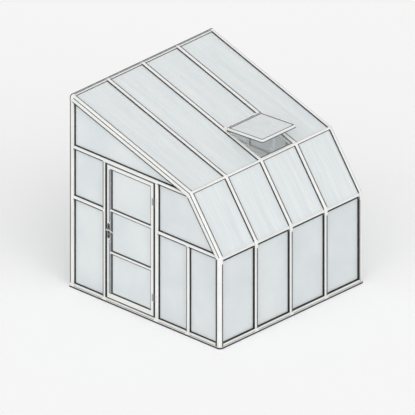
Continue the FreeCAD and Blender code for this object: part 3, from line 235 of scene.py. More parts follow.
def acrylic_sheet():
    """Pale acrylic sheet: glossy, lightly clouded so that what is behind shows only softly."""
    material, tree, place = new_material("acrylic_sheet_pale")
    cloud = add(tree, "ShaderNodeTexNoise", {"Vector": place, "Scale": per_metre(588), "Detail": 4.0})
    cloud = add(tree, "ShaderNodeMapRange", {"Value": cloud, "From Min": 0.3, "From Max": 0.7})
    body = add(tree, "ShaderNodeMix", {0: cloud, 6: colour("#f3f7f8"), 7: colour("#e8eff1")},
               out=2, data_type="RGBA")
    # Wiping leaves smears about a hand wide.
    smear = add(tree, "ShaderNodeTexNoise", {"Vector": place, "Scale": per_metre(143), "Detail": 6.0})
    rough = add(tree, "ShaderNodeMapRange", {"Value": smear, "From Min": 0.3, "From Max": 0.7,
                                             "To Min": 0.08, "To Max": 0.22})
    bump = add(tree, "ShaderNodeBump", {"Strength": 0.06, "Distance": 0.002, "Height": cloud})
    return close_material(material, tree, {"Base Color": body, "Roughness": rough, "IOR": 1.49,
                                           "Alpha": 0.72, "Normal": bump})


def twin_wall_sheet(name, turn):
    """Twin-wall roof sheet: milky, with faint inner ribs that run down the slope."""
    material, tree, place = new_material(name)
    # Real ribs are 10 mm apart; they are drawn at 40 mm so that they show.
    rib_pitch = 0.040
    side = add(tree, "ShaderNodeSeparateXYZ", {0: place})
    phase = add(tree, "ShaderNodeMath", {0: side, 1: math.tau/rib_pitch}, operation="MULTIPLY")
    wave = add(tree, "ShaderNodeMath", {0: phase}, operation="SINE")
    rib = add(tree, "ShaderNodeMapRange", {"Value": wave, "From Min": 0.55, "From Max": 1.0})
    # Rain leaves runs 50 mm wide and 900 mm long.
    local = add(tree, "ShaderNodeMapping", {"Vector": place, "Rotation": (turn, 0, 0),
                                            "Scale": (0.05, 0.9, 0.05)}, vector_type="TEXTURE")
    run = add(tree, "ShaderNodeTexNoise", {"Vector": local, "Scale": 1.0, "Detail": 4.0})
    run = add(tree, "ShaderNodeMapRange", {"Value": run, "From Min": 0.35, "From Max": 0.7})
    body = add(tree, "ShaderNodeMix", {0: run, 6: colour("#f0f4f5"), 7: colour("#e4eaec")},
               out=2, data_type="RGBA")
    mark = add(tree, "ShaderNodeMath", {0: rib, 1: 0.35}, operation="MULTIPLY")
    body = add(tree, "ShaderNodeMix", {0: mark, 6: body, 7: colour("#cfd8dc")}, out=2, data_type="RGBA")
    rough = add(tree, "ShaderNodeMapRange", {"Value": run, "To Min": 0.18, "To Max": 0.32})
    bump = add(tree, "ShaderNodeBump", {"Strength": 0.15, "Distance": 0.001, "Height": rib})
    return close_material(material, tree, {"Base Color": body, "Roughness": rough, "IOR": 1.58,
                                           "Alpha": 0.86, "Normal": bump})


def seal_rubber(name, fresh, bloomed):
    """Extruded seal: matt, slightly chalky in patches where the rubber has bloomed."""
    material, tree, place = new_material(name)
    bloom = add(tree, "ShaderNodeTexNoise", {"Vector": place, "Scale": per_metre(41.7), "Detail": 6.0})
    bloom = add(tree, "ShaderNodeMapRange", {"Value": bloom, "From Min": 0.4, "From Max": 0.75})
    body = add(tree, "ShaderNodeMix", {0: bloom, 6: colour(fresh), 7: colour(bloomed)},
               out=2, data_type="RGBA")
    rough = add(tree, "ShaderNodeMapRange", {"Value": bloom, "To Min": 0.55, "To Max": 0.8})
    bump = add(tree, "ShaderNodeBump", {"Strength": 0.2, "Distance": 0.0004, "Height": bloom})
    return close_material(material, tree, {"Base Color": body, "Roughness": rough, "IOR": 1.52,
                                           "Normal": bump})


def grained_metal(name, dark, light, gloss, metallic, feature):
    """Metal whose tone and roughness change along a grain of the given size."""
    material, tree, place = new_material(name)
    local = add(tree, "ShaderNodeMapping", {"Vector": place, "Scale": feature}, vector_type="TEXTURE")
    grain = add(tree, "ShaderNodeTexNoise", {"Vector": local, "Scale": 1.0, "Detail": 4.0})
    spread = add(tree, "ShaderNodeMapRange", {"Value": grain, "From Min": 0.3, "From Max": 0.7})
    body = add(tree, "ShaderNodeMix", {0: spread, 6: colour(dark), 7: colour(light)},
               out=2, data_type="RGBA")
    rough = add(tree, "ShaderNodeMapRange", {"Value": spread, "To Min": gloss[0], "To Max": gloss[1]})
    bump = add(tree, "ShaderNodeBump", {"Strength": 0.15, "Distance": 0.0003, "Height": grain})
    return close_material(material, tree, {"Base Color": body, "Roughness": rough, "Metallic": metallic,
                                           "Normal": bump})


def hinge_coat(name, dark, light, reach):
    """Coated hinge half: the leaf in its own tone, black nylon up to a reach from the hinge line."""
    material, tree, place = new_material(name)
    grain = add(tree, "ShaderNodeTexNoise", {"Vector": place, "Scale": per_metre(6.25), "Detail": 4.0})
    coat = add(tree, "ShaderNodeMix", {0: grain, 6: colour(dark), 7: colour(light)},
               out=2, data_type="RGBA")
    level = add(tree, "ShaderNodeVectorMath", {0: place, 1: (1, 1, 0)}, operation="MULTIPLY")
    away = add(tree, "ShaderNodeVectorMath", {0: level, 1: (HINGE_X, HINGE_Y, 0)},
               out="Value", operation="DISTANCE")
    leaf = add(tree, "ShaderNodeMath", {0: away, 1: reach}, operation="GREATER_THAN")
    body = add(tree, "ShaderNodeMix", {0: leaf, 6: colour("#1b1b1c"), 7: coat}, out=2, data_type="RGBA")
    bump = add(tree, "ShaderNodeBump", {"Strength": 0.15, "Distance": 0.0003, "Height": grain})
    return close_material(material, tree, {"Base Color": body, "Roughness": 0.45, "Normal": bump})


# Streaks and grains as sizes in metres along x, y and z
UPRIGHT_STREAK = (0.008, 0.008, 0.5)
WIDTHWAYS_STREAK = (0.5, 0.008, 0.008)
DEPTHWAYS_STREAK = (0.008, 0.5, 0.008)
COAT_GRAIN = (0.006, 0.006, 0.006)
RESIN_UPRIGHT = extruded_resin("white_resin_extruded_upright", UPRIGHT_STREAK)
RESIN_WIDTHWAYS = extruded_resin("white_resin_extruded_widthways", WIDTHWAYS_STREAK)
RESIN_DEPTHWAYS = extruded_resin("white_resin_extruded_depthways", DEPTHWAYS_STREAK)
RESIN_ROOF = extruded_resin("white_resin_extruded_roof", DEPTHWAYS_STREAK, ROOF_SLOPE)
RESIN_STEEP = extruded_resin("white_resin_extruded_steep", DEPTHWAYS_STREAK, STEEP_SLOPE)
RESIN_MOULDED = extruded_resin("white_resin_moulded", (0.03, 0.03, 0.03))
ACRYLIC = acrylic_sheet()
TWIN_WALL_ROOF = twin_wall_sheet("twin_wall_sheet_roof", ROOF_SLOPE)
TWIN_WALL_STEEP = twin_wall_sheet("twin_wall_sheet_steep", STEEP_SLOPE)
# Black rubber of the seals; the same black is painted shade on the strips under the rails, along the floor
# and on the corner posts' edges.
RUBBER = seal_rubber("epdm_rubber_black", "#141415", "#2b2b2c")
# On the lips along the upright bars this grey is painted shade for their rounded edges.
GREY_LIP = seal_rubber("soft_vinyl_grey", "#5b5e61", "#6f7275")
# Pale grey that paints the shade of the door's latch stile bevel.
BEVEL_SHADE_GREY = seal_rubber("bevel_shade_pale_grey", "#8d9093", "#a5a8aa")
GREY_METAL = grained_metal("grey_coated_zinc_cast", "#a4a7aa", "#b7babc", (0.34, 0.5), 0.2, COAT_GRAIN)
DARK_METAL = grained_metal("graphite_coated_zinc_cast", "#2e3032", "#404244", (0.36, 0.52), 0.3, COAT_GRAIN)
PALE_COAT = grained_metal("pale_coated_aluminium", "#d3d5d6", "#e2e3e3", (0.32, 0.46), 0.1, COAT_GRAIN)
SATIN_METAL = grained_metal("satin_nickel_plated_zinc", "#c6c7c6", "#dcdcda", (0.24, 0.38), 0.8,
                            (0.004, 0.012, 0.004))
STEEL = grained_metal("zinc_plated_steel_rolled", "#9fa2a4", "#c3c5c6", (0.22, 0.4), 1.0,
                      (0.004, 0.004, 0.03))
ALUMINIUM = grained_metal("mill_aluminium_extruded", "#b4b6b8", "#cfd1d2", (0.28, 0.45), 1.0,
                          (0.003, 0.4, 0.003))
BRASS = grained_metal("brass_turned", "#a98d4e", "#c2a765", (0.25, 0.4), 1.0, (0.004, 0.004, 0.004))
HINGE_WHITE = hinge_coat("white_coated_hinge", "#e2e3e2", "#ededeb", reach=0.0165)
HINGE_GREY = hinge_coat("grey_coated_hinge", "#9fa2a4", "#afb1b3", reach=0.0076)
GREY_RESIN = grained_metal("grey_resin_moulded", "#6c6f72", "#7b7e81", (0.45, 0.6), 0.0, (0.02, 0.02, 0.02))

BY_SLOT = {
    "white_resin": RESIN_UPRIGHT,
    "grey_resin": GREY_RESIN,
    "pale_acrylic": ACRYLIC,
    "twin_wall_sheet": TWIN_WALL_ROOF,
    "black_seal": RUBBER,
    "grey_metal": GREY_METAL,
    "bright_steel": STEEL,
    "mill_aluminium": ALUMINIUM,
    "lock_brass": BRASS,
}
# Nodes whose finish isn't that of their slot
OWN_FINISHES = (
    (RESIN_WIDTHWAYS, ("base_rail_front", "eave_rails", "knee_purlins", "wall_rails", "purlin_caps",
                       "vent_header")),
    (RESIN_DEPTHWAYS, ("base_rail_left", "base_rail_right", "gable_head_rails", "gable_mid_rails",
                       "door_rails")),
    (RESIN_ROOF, ("roof_rafters_inner", "roof_rafters_gable", "rafter_caps")),
    (RESIN_STEEP, ("steep_rafters_inner", "steep_rafters_gable")),
    (RESIN_MOULDED, ("base_corners", "vent_sash")),
    (TWIN_WALL_STEEP, ("steep_panes",)),
    (DARK_METAL, ("handle_plates",)),
    (HINGE_WHITE, ("door_hinges_fixed",)),
    (HINGE_GREY, ("door_hinges_moving",)),
    (SATIN_METAL, ("lever_outside", "lever_inside")),
    (PALE_COAT, ("vent_stay", "stay_guide", "stay_bracket")),
)
BY_NODE = {node: finish for finish, nodes in OWN_FINISHES for node in nodes}


def dress_cad_nodes():
    """Each CAD node gets the finish of its slot, or one of its own."""
    for row in frame["record"]["subparts"]:
        finish = BY_NODE.get(row["node"], BY_SLOT[row["material_slot"]])
        for slot in frame["nodes"][row["node"]].material_slots:
            slot.material = finish


# Mesh helpers
def arc(u, v, radius, start, stop, steps=6):
    """Points on an arc; angles in degrees."""
    points = []
    for i in range(steps + 1):
        angle = math.radians(start + (stop - start)*i/steps)
        points.append((u + radius*math.cos(angle), v + radius*math.sin(angle)))
    return points


def offset_path(path, gap, closed=False):
    """Path moved to its left by a gap, with mitred corners."""
    count = len(path)
    moved = []
    for i, point in enumerate(path):
        ways = []
        for j in (i - 1, i):
            if closed or 0 <= j < count - 1:
                u0, v0 = path[j % count]
                u1, v1 = path[(j + 1) % count]
                ways.append(Vector((v0 - v1, u1 - u0)).normalized())
        mitre = (ways[0] + ways[-1])/(1 + ways[0].dot(ways[-1]))
        moved.append((point[0] + mitre.x*gap, point[1] + mitre.y*gap))
    return moved


def trim_along(path, section, place, closed=False):
    """Rings of a trim beside a path; a section point is a distance to the path's left, and a height."""
    lines = [offset_path(path, left, closed) for left, height in section]
    heights = [height for left, height in section]
    return [[place(*point, height) for point, height in zip(points, heights)] for points in zip(*lines)]


def seal_loop(corners, section, place):
    """Closed trim inside an opening, whichever way round its corners are given."""
    area = sum(a[0]*b[1] - a[1]*b[0] for a, b in zip(corners, corners[1:] + corners[:1]))
    return trim_along(corners if area > 0 else corners[::-1], section, place, closed=True)


def box_corners(near, far, low, high):
    return [(near, low), (far, low), (far, high), (near, high)]


def lofted_mesh(name, lofts, loops=()):
    """Closed mesh from lofts with end caps and from loops that run back into themselves."""
    bm = bmesh.new()
    for rings, is_loop in [(item, False) for item in lofts] + [(item, True) for item in loops]:
        rows = [[bm.verts.new(point) for point in ring] for ring in rings]
        count = len(rows[0])
        follow = rows[1:] + rows[:1] if is_loop else rows[1:]
        for low, high in zip(rows, follow):
            for i in range(count):
                j = (i + 1) % count
                bm.faces.new((low[i], low[j], high[j], high[i]))
        if not is_loop:
            bm.faces.new(rows[0][::-1])
            bm.faces.new(rows[-1])
    bmesh.ops.recalc_face_normals(bm, faces=bm.faces)
    for edge in bm.edges:
        edge.smooth = edge.calc_face_angle(0) < math.radians(35)
    for face in bm.faces:
        face.smooth = True
    mesh = bpy.data.meshes.new(name)
    bm.to_mesh(mesh)
    bm.free()
    return mesh


def put(mesh, body, material):
    """Finished piece that rides on a body and takes a slot's finish."""
    piece = bpy.data.objects.new(mesh.name, mesh)
    bpy.context.scene.collection.objects.link(piece)
    if not mesh.materials:
        mesh.materials.append(material)
    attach(piece, body)


# Places on the front wall, the gables, the door leaf and the vent's sash
def on_front(x, z, inset):
    return Vector((x, -FRONT_Y + inset, z))


def on_gable(side):
    return lambda y, z, inset: Vector((side*(SIDE_X - inset), y, z))


def on_leaf(y, z, deep):
    return Vector((LEAF_FACE_X + deep, y, z))


SASH_PLACE = Matrix.Translation((VENT_X, VENT_Y, VENT_Z)) @ Matrix.Rotation(VENT_TURN, 4, "X")


def on_sash(x, y, height):
    return SASH_PLACE @ Vector((x, y, height))


def eave_underside(inset):
    """Height of the lower face of the eave rails."""
    return EAVE_Z - inset*EAVE_IN_Z - EAVE_DEEP


# Stations along the bars: each turns a section point (across, inset) into a place.
def on_post(z):
    return lambda x, inset: on_front(x, z, inset)


def on_eave(x, inset):
    return Vector((x, -FRONT_Y + inset, EAVE_Z - inset*EAVE_IN_Z))


def on_steep(down):
    return lambda x, inset: Vector((x, KNEE_Y - down*STEEP_COS + inset*STEEP_SIN,
                                    KNEE_Z - down*STEEP_SIN - inset*STEEP_COS))


def on_knee(x, inset):
    return Vector((x, KNEE_Y + inset*KNEE_IN_Y, KNEE_Z - inset*KNEE_IN_Z))


def on_roof(along):
    return lambda x, inset: Vector((x, KNEE_Y + along*ROOF_COS + inset*ROOF_SIN,
                                    KNEE_Z + along*ROOF_SIN - inset*ROOF_COS))


def at_wall(gap):
    """Upright cut through the roof at a distance from the wall."""
    return lambda x, inset: Vector((x, WALL_Y - gap, TOP_Z - (gap*ROOF_SIN + inset)/ROOF_COS))


def roof_level(z):
    """Level cut through the upper roof slope."""
    return lambda x, inset: on_roof((z - KNEE_Z + inset*ROOF_COS)/ROOF_SIN)(x, inset)


def steep_level(z):
    """Level cut through the steep roof slope."""
    return lambda x, inset: on_steep((KNEE_Z - z - inset*STEEP_COS)/STEEP_SIN)(x, inset)


# Lengths of trim
def sweep(section, stations, x=0.0):
    return [[station(u + x, v) for u, v in section] for station in stations]


def across_roof(section, along, left, right):
    """Length across the upper roof; the section's axes point up the slope and into the roof."""
    return [[on_roof(along + u)(x, v) for u, v in section] for x in (left, right)]


def strip(section, start, stop, out, deep):
    """Straight length; out and deep are the ways that the section's two axes point."""
    return [[Vector(end) + Vector(out)*u + Vector(deep)*v for u, v in section] for end in (start, stop)]


def upright(section, x, y, low, high, out, deep):
    """Upright length between two heights."""
    return strip(section, (x, y, low), (x, y, high), out, deep)


# Moulded covers on the joints
def cover(path, side):
    """Thin skin on the outer side of a path."""
    return offset_path(path, -side*COVER_SKIN) + offset_path(path, -side*TRIM_GAP)[::-1]


def cap_path(wide, edge, deep):
    """Face of a bar with rounded edges: across, and depth below the outer face."""
    half = wide/2
    return [(-half, deep)] + arc(-half + edge, edge, edge, 180, 270) + \
        arc(half - edge, edge, edge, 270, 360) + [(half, deep)]


def at_gable(section, side):
    """Section of a gable bar, measured in from its outer face, set at the left or the right gable."""
    return [(side*(SIDE_X - u), v) for u, v in section]


def gable_path(side, deep):
    """Gable bar from its outer face round the large edge to its top, and down beside the roof pane."""
    path = [(0.0, deep)] + arc(CORNER_ROUND, CORNER_ROUND, CORNER_ROUND, 180, 270, 10)
    path += [(GABLE_WIDE, 0.0), (GABLE_WIDE, ROOF_SET - 2*END_GAP)]
    return at_gable(path, side)


def joint_covers():
    """Bent covers where posts, rafters and rails meet."""
    lofts = []
    face = cover(cap_path(BAR_WIDE, CAP_ROUND, COVER_DEEP), 1)
    eave_bend = (on_post(EAVE_COVER_LOW), on_eave, on_steep(STEEP_LONG - EAVE_COVER_ARM))
    knee_bend = (on_steep(KNEE_COVER_DOWN), on_knee, on_roof(KNEE_COVER_UP))
    for x in MULLION_X:
        lofts.append(sweep(face, eave_bend, x))
        lofts.append(sweep(face, knee_bend, x))
    for side in (-1, 1):
        bend = cover(gable_path(side, WALL_COVER_DEEP), -side)
        lofts.append(sweep(bend, (on_roof(ROOF_LONG - WALL_COVER_ARM), at_wall(0.0))))
    put(lofted_mesh("joint_covers", lofts), "frame", RESIN_MOULDED)


# Panes of the gables
def gable_bays(side):
    """Clear bays between the uprights of one gable, as distances from the wall."""
    bars = [(near, near + BAR_WIDE) for near in RIGHT_BARS]
    if side < 0:
        bars = [(LATCH_POST, HINGE_POST_END), (MULLION_FROM_WALL, MULLION_FROM_WALL + BAR_WIDE)]
    starts = [WALL_POST_DEEP] + [far for near, far in bars]
    stops = [near for near, far in bars] + [CORNER_POST]
    return list(zip(starts, stops))


def gable_openings(side):
    """Outlines of the panes of one gable, as depth and height."""
    bays = gable_bays(side)
    tall = TALL_BAYS[side]
    outlines = []
    for bay, (near, far) in enumerate(bays):
        outlines.append(box_corners(WALL_Y - near, WALL_Y - far, BASE_HIGH, MID_LOW))
        if bay < tall:
            outlines.append(box_corners(WALL_Y - near, WALL_Y - far, MID_TOP, HEAD_LOW))
    last = WALL_Y - bays[tall][0]
    bend = on_knee(0, GABLE_DEEP)
    foot = on_eave(0, GABLE_DEEP)
    lean = (bend.y - foot.y)/(bend.z - foot.z)
    slant = ROOF_SIN/ROOF_COS
    outlines.append([(last, MID_TOP), (foot.y + (MID_TOP - foot.z)*lean, MID_TOP),
                     (bend.y, bend.z), (last, bend.z)])
    face = WALL_Y - WALL_POST_DEEP
    outlines.append([(face, HEAD_TOP), (bend.y + (HEAD_TOP - bend.z)/slant, HEAD_TOP),
                     (face, bend.z + (face - bend.y)*slant)])
    return outlines


# Seals
def wedge(start, stop, thick):
    """Section of a wedge seal: thin at the outside, thick where it meets the pane."""
    return [(TRIM_GAP, start), (thick*0.45, start), (thick*0.6, start + 0.002), (thick, stop - 0.006),
            (thick, stop), (TRIM_GAP, stop)]


def wall_gaskets():
    """Black wedge seals in the reveals of the wall panes."""
    loops = []
    pane_face = GLASS_SET - PANE_GAP
    front = wedge(start=0.0095, stop=pane_face, thick=0.0050)
    pane_top = eave_underside(GLASS_SET)
    for centre in BAY_CENTRES:
        corners = box_corners(centre - BAY_CLEAR/2, centre + BAY_CLEAR/2, BASE_HIGH, pane_top)
        loops.append(seal_loop(corners, front, on_front))
    gable = wedge(start=0.0165, stop=pane_face, thick=0.0045)
    for side in (-1, 1):
        for corners in gable_openings(side):
            loops.append(seal_loop(corners, gable, on_gable(side)))
    put(lofted_mesh("wall_gaskets", [], loops), "frame", RUBBER)


def cap_wings():
    """Black wing seals that close the cover strips of the rafters onto the roof panes."""
    lofts = []
    wing = [(TRIM_GAP, 0.0022), (0.0080, 0.0030), (0.0100, 0.0052), (0.0104, 0.0136), (TRIM_GAP, 0.0136)]
    knee_gap = 0.0185
    eave_gap = 0.024
    wall_gap = 0.042
    edges = [(-SIDE_X + GABLE_WIDE, 1, 0)]
    for bay, x in enumerate(MULLION_X):
        edges += [(x - BAR_WIDE/2, -1, bay), (x + BAR_WIDE/2, 1, bay + 1)]
    edges.append((SIDE_X - GABLE_WIDE, -1, len(MULLION_X)))
    for x, way, bay in edges:
        # The wing on the right of each cover strip is the broad one that the strip is clipped over.
        broad = 1.5 if way > 0 else 1.0
        section = [(x + way*u*broad, v) for u, v in wing]
        start = VENT_HEADER_END if bay == VENT_BAY else knee_gap
        lofts.append(sweep(section, (on_steep(STEEP_LONG - eave_gap), on_steep(knee_gap))))
        lofts.append(sweep(section, (on_roof(start), on_roof(ROOF_LONG - wall_gap))))
    joint = [(0.0, TRIM_GAP), (0.0055, TRIM_GAP), (0.0045, -0.0012), (0.0010, -0.0012)]
    wall_rail_edge = ROOF_LONG - 0.024
    lofts.append(across_roof(joint, wall_rail_edge, -ROOF_REACH, ROOF_REACH))
    put(lofted_mesh("cap_wings", lofts), "frame", RUBBER)


def edge_nose(round_off, high):
    """Section of a trim that hugs a rounded edge: depth from the face, distance from the edge."""
    return [(-0.0014, high - 0.0010), (TRIM_GAP, high)] + \
        arc(round_off, round_off, round_off - TRIM_GAP, 180, 270) + \
        [(round_off, -0.0012), (0.0020, -0.0012), (-0.0014, 0.0022)]


def gable_rail_underside_shades(side):
    """Black noses of painted shade under the mid rails and head rails of one gable."""
    nose = edge_nose(EDGE_ROUND, high=0.014)
    head_rail_end = 1.985
    bays = gable_bays(side)
    tall = TALL_BAYS[side]
    spans = [(near, far, MID_LOW) for near, far in bays]
    spans += [(near, far, HEAD_LOW) for near, far in bays[:tall]]
    spans.append((bays[tall][0], head_rail_end, HEAD_LOW))
    lofts = []
    for near, far, low in spans:
        start = (side*SIDE_X, WALL_Y - near - END_GAP, low)
        stop = (side*SIDE_X, WALL_Y - far + END_GAP, low)
        lofts.append(strip(nose, start, stop, (-side, 0, 0), (0, 0, 1)))
    return lofts


def underside_shade_beads():
    """Black noses of painted shade under the gable rails, the eave rails and the gable rafters."""
    lofts = gable_rail_underside_shades(-1) + gable_rail_underside_shades(1)
    bead = arc(0.0052, 0.0118, 0.0052, 0, -180)
    reach = BAY_CLEAR/2 - GUSSET_ROUND - GUSSET_GAP
    middle = eave_underside(GUSSET_FRONT) - GUSSET_ROUND
    for centre in BAY_CENTRES:
        path = arc(centre - reach, middle, GUSSET_ROUND, 176, 90, 8)
        path += arc(centre + reach, middle, GUSSET_ROUND, 90, 4, 8)
        lofts.append(trim_along(path, bead, on_front))
    under = [(u, GABLE_DEEP - v) for u, v in edge_nose(GABLE_LOW_ROUND, high=0.017)]
    steep_shade_top = HEAD_LOW - 0.007
    for side in (-1, 1):
        section = at_gable(under, side)
        lofts.append(sweep(section, (roof_level(HEAD_TOP + END_GAP), at_wall(WALL_POST_DEEP + END_GAP))))
        lofts.append(sweep(section, (steep_level(MID_TOP + END_GAP), steep_level(steep_shade_top))))
    put(lofted_mesh("underside_shade_beads", lofts), "frame", RUBBER)


def edge_shade_lips():
    """Grey lips on one rounded edge of each upright bar: painted shade, standing in for the shade on that
    edge.
    """
    lofts = []
    broad = edge_nose(EDGE_ROUND, high=0.020)
    low = BASE_HIGH + END_GAP
    high = EAVE_COVER_LOW - 2*END_GAP
    for x in MULLION_X:
        lofts.append(upright(broad, x + BAR_WIDE/2, -FRONT_Y, low, high, (0, 1, 0), (-1, 0, 0)))
    slim = edge_nose(EDGE_ROUND, high=0.015)
    for side in (-1, 1):
        bays = gable_bays(side)
        spans = [(far, BASE_HIGH, MID_LOW) for near, far in bays[:-1]]
        spans += [(far, MID_TOP, HEAD_LOW) for near, far in bays[:TALL_BAYS[side]]]
        for far, low, high in spans:
            lofts.append(upright(slim, side*SIDE_X, WALL_Y - far, low + END_GAP, high - END_GAP,
                                 (-side, 0, 0), (0, -1, 0)))
    put(lofted_mesh("edge_shade_lips", lofts), "frame", GREY_LIP)


def corner_edge_shades():
    """Black strips of painted shade on both rounded edges of the front corner posts, carried down the base
    corners.
    """
    lofts = []
    side_wide = 0.026
    for side, front_wide in ((-1, 0.018), (1, 0.006)):
        front_edge = (side*(SIDE_X - GABLE_WIDE), -FRONT_Y)
        side_edge = (side*SIDE_X, -FRONT_Y + GABLE_DEEP)
        for (x, y), wide, top, inward, along in (
                (front_edge, front_wide, EAVE_COVER_LOW, (0, 1, 0), (side, 0, 0)),
                (side_edge, side_wide, MID_LOW - END_GAP, (-side, 0, 0), (0, -1, 0))):
            lip = edge_nose(SHARP_ROUND, wide)
            lofts.append(upright(lip, x, y, BASE_HIGH + END_GAP, top, inward, along))
            foot = [(0.0, -TRIM_GAP), (0.0, -0.0012), (wide - 0.001, -0.0012), (wide, -TRIM_GAP)]
            lofts.append(upright(foot, x, y, BASE_FLANGE + END_GAP, BASE_HIGH, along, inward))
    put(lofted_mesh("corner_edge_shades", lofts), "frame", RUBBER)


def wall_edge_seals():
    """Black compressible seals along the wall, on the wall posts and on the wall rail."""
    lofts = []
    edge = edge_nose(SHARP_ROUND, high=0.014)
    seal_wide = 0.0130
    seal_proud = 0.0030
    wall_gap = 0.0015
    post_seal_top = 2.578
    for side in (-1, 1):
        lofts.append(upright(edge, side*SIDE_X, WALL_Y - wall_gap, BASE_HIGH + 2*END_GAP, post_seal_top,
                             (-side, 0, 0), (0, -1, 0)))
        # The seal goes on round the joint cover at the top of the post.
        bend = gable_path(side, WALL_COVER_DEEP)[:-1]
        band = offset_path(bend, side*seal_proud) + offset_path(bend, side*(COVER_SKIN + 0.0001))[::-1]
        lofts.append(sweep(band, (at_wall(seal_wide), at_wall(wall_gap))))
    line = [(0.0, TRIM_GAP), (0.0090, TRIM_GAP), (0.0085, -0.0014), (0.0012, -0.0014)]
    rail_seal_edge = ROOF_LONG - 0.0100
    lofts.append(across_roof(line, rail_seal_edge, -ROOF_REACH, ROOF_REACH))
    put(lofted_mesh("wall_edge_seals", lofts), "frame", RUBBER)


# Trims of the door
INDOORS = (1, 0, 0)
DOOR_LATCH_SIDE = WALL_Y - DOOR_FROM_WALL
DOOR_HINGE_SIDE = DOOR_LATCH_SIDE - DOOR_OPEN
FLAT_LIP = [(TRIM_GAP, -TRIM_GAP), (0.0008, -0.0012), (0.0070, -0.0012), (0.0078, TRIM_GAP),
            (TRIM_GAP, TRIM_GAP)]
LIP_END_GAP = 0.004


def beside_hinges(low):
    """Heights that the hinge plates leave free for the lips along the hinge side, from a lower end up."""
    clear = 0.050
    lower, upper = HINGE_LEVELS
    return [(low, lower - clear), (lower + clear, upper - clear), (upper + clear, LEAF_TOP - LIP_END_GAP)]


def door_gap_seals():
    """Bulb seals in the gaps around the door leaf, and flat lips on the posts beside them."""
    bulb = [(TRIM_GAP, 0.0015)] + arc(0.0085, 0.0070, 0.0055, 270, 450, 8) + [(TRIM_GAP, 0.0125)]
    # The bulb on the hinge side is flatter and set in further.
    slim_share = 0.58
    slim_inset = 0.0035
    slim = [(u*slim_share, v + slim_inset) for u, v in bulb]
    low = BASE_HIGH + 0.0045
    top = HEAD_LOW - 0.0005
    lofts = [upright(bulb, -SIDE_X, DOOR_LATCH_SIDE, low, top, (0, -1, 0), INDOORS),
             upright(slim, -SIDE_X, DOOR_HINGE_SIDE, low, top, (0, 1, 0), INDOORS),
             upright(FLAT_LIP, -SIDE_X, DOOR_LATCH_SIDE, low, top, (0, 1, 0), INDOORS)]
    for begin, end in beside_hinges(low):
        lofts.append(upright(FLAT_LIP, -SIDE_X, DOOR_HINGE_SIDE, begin, end, (0, -1, 0), INDOORS))
    # The level bulbs end clear of the upright ones.
    hinge_clear = 0.010
    latch_clear = 0.016
    for z, way, share in ((HEAD_LOW, -1, 0.38), (BASE_HIGH, 1, 0.3)):
        section = [(u*share, v) for u, v in bulb]
        start = (-SIDE_X, DOOR_HINGE_SIDE + hinge_clear, z)
        stop = (-SIDE_X, DOOR_LATCH_SIDE - latch_clear, z)
        lofts.append(strip(section, start, stop, (0, 0, way), INDOORS))
    put(lofted_mesh("door_gap_seals", lofts), "frame", RUBBER)


def door_edge_seal():
    """Black seal on the leaf's hinge edge, and flat lips round the leaf's face."""
    edge = [(TRIM_GAP, 0.0038), (0.0030, 0.0042), (0.0038, 0.0060), (0.0038, 0.0210), (TRIM_GAP, 0.0215)]
    lofts = [upright(edge, -SIDE_X, LEAF_HINGE_Y, LEAF_LOW + LIP_END_GAP, LEAF_TOP - LIP_END_GAP,
                     (0, -1, 0), INDOORS)]
    # The upright lips keep clear of the level ones.
    lip_clear = 0.009
    low = LEAF_LOW + lip_clear
    top = LEAF_TOP - lip_clear
    for begin, end in beside_hinges(low):
        lofts.append(upright(FLAT_LIP, LEAF_FACE_X, LEAF_HINGE_Y, begin, end, (0, 1, 0), INDOORS))
    lofts.append(upright(FLAT_LIP, LEAF_FACE_X, LEAF_LATCH_Y, low, top, (0, -1, 0), INDOORS))
    for z, way in ((LEAF_LOW, 1), (LEAF_TOP, -1)):
        start = (LEAF_FACE_X, LEAF_HINGE_Y, z)
        stop = (LEAF_FACE_X, LEAF_LATCH_Y, z)
        lofts.append(strip(FLAT_LIP, start, stop, (0, 0, way), INDOORS))
    put(lofted_mesh("door_edge_seal", lofts), "door", RUBBER)


def leaf_panes():
    """Lower and upper edges of the three door panes."""
    lows = [LEAF_LOW + LEAF_BAR + pane*(LEAF_PANE + LEAF_MID_BAR) for pane in range(3)]
    return [(low, low + LEAF_PANE) for low in lows]


def door_pane_wedges():
    """Black wedges round the door panes."""
    section = [(-0.0063, 0.0135), (-0.0055, 0.0125), (0.0012, 0.0190), (TRIM_GAP, 0.0200)]
    loops = []
    for low, high in leaf_panes():
        corners = box_corners(LEAF_HINGE_Y + LEAF_BAR, LEAF_LATCH_Y - LEAF_BAR, low, high)
        loops.append(seal_loop(corners, section, on_leaf))
    put(lofted_mesh("door_pane_wedges", [], loops), "door", RUBBER)


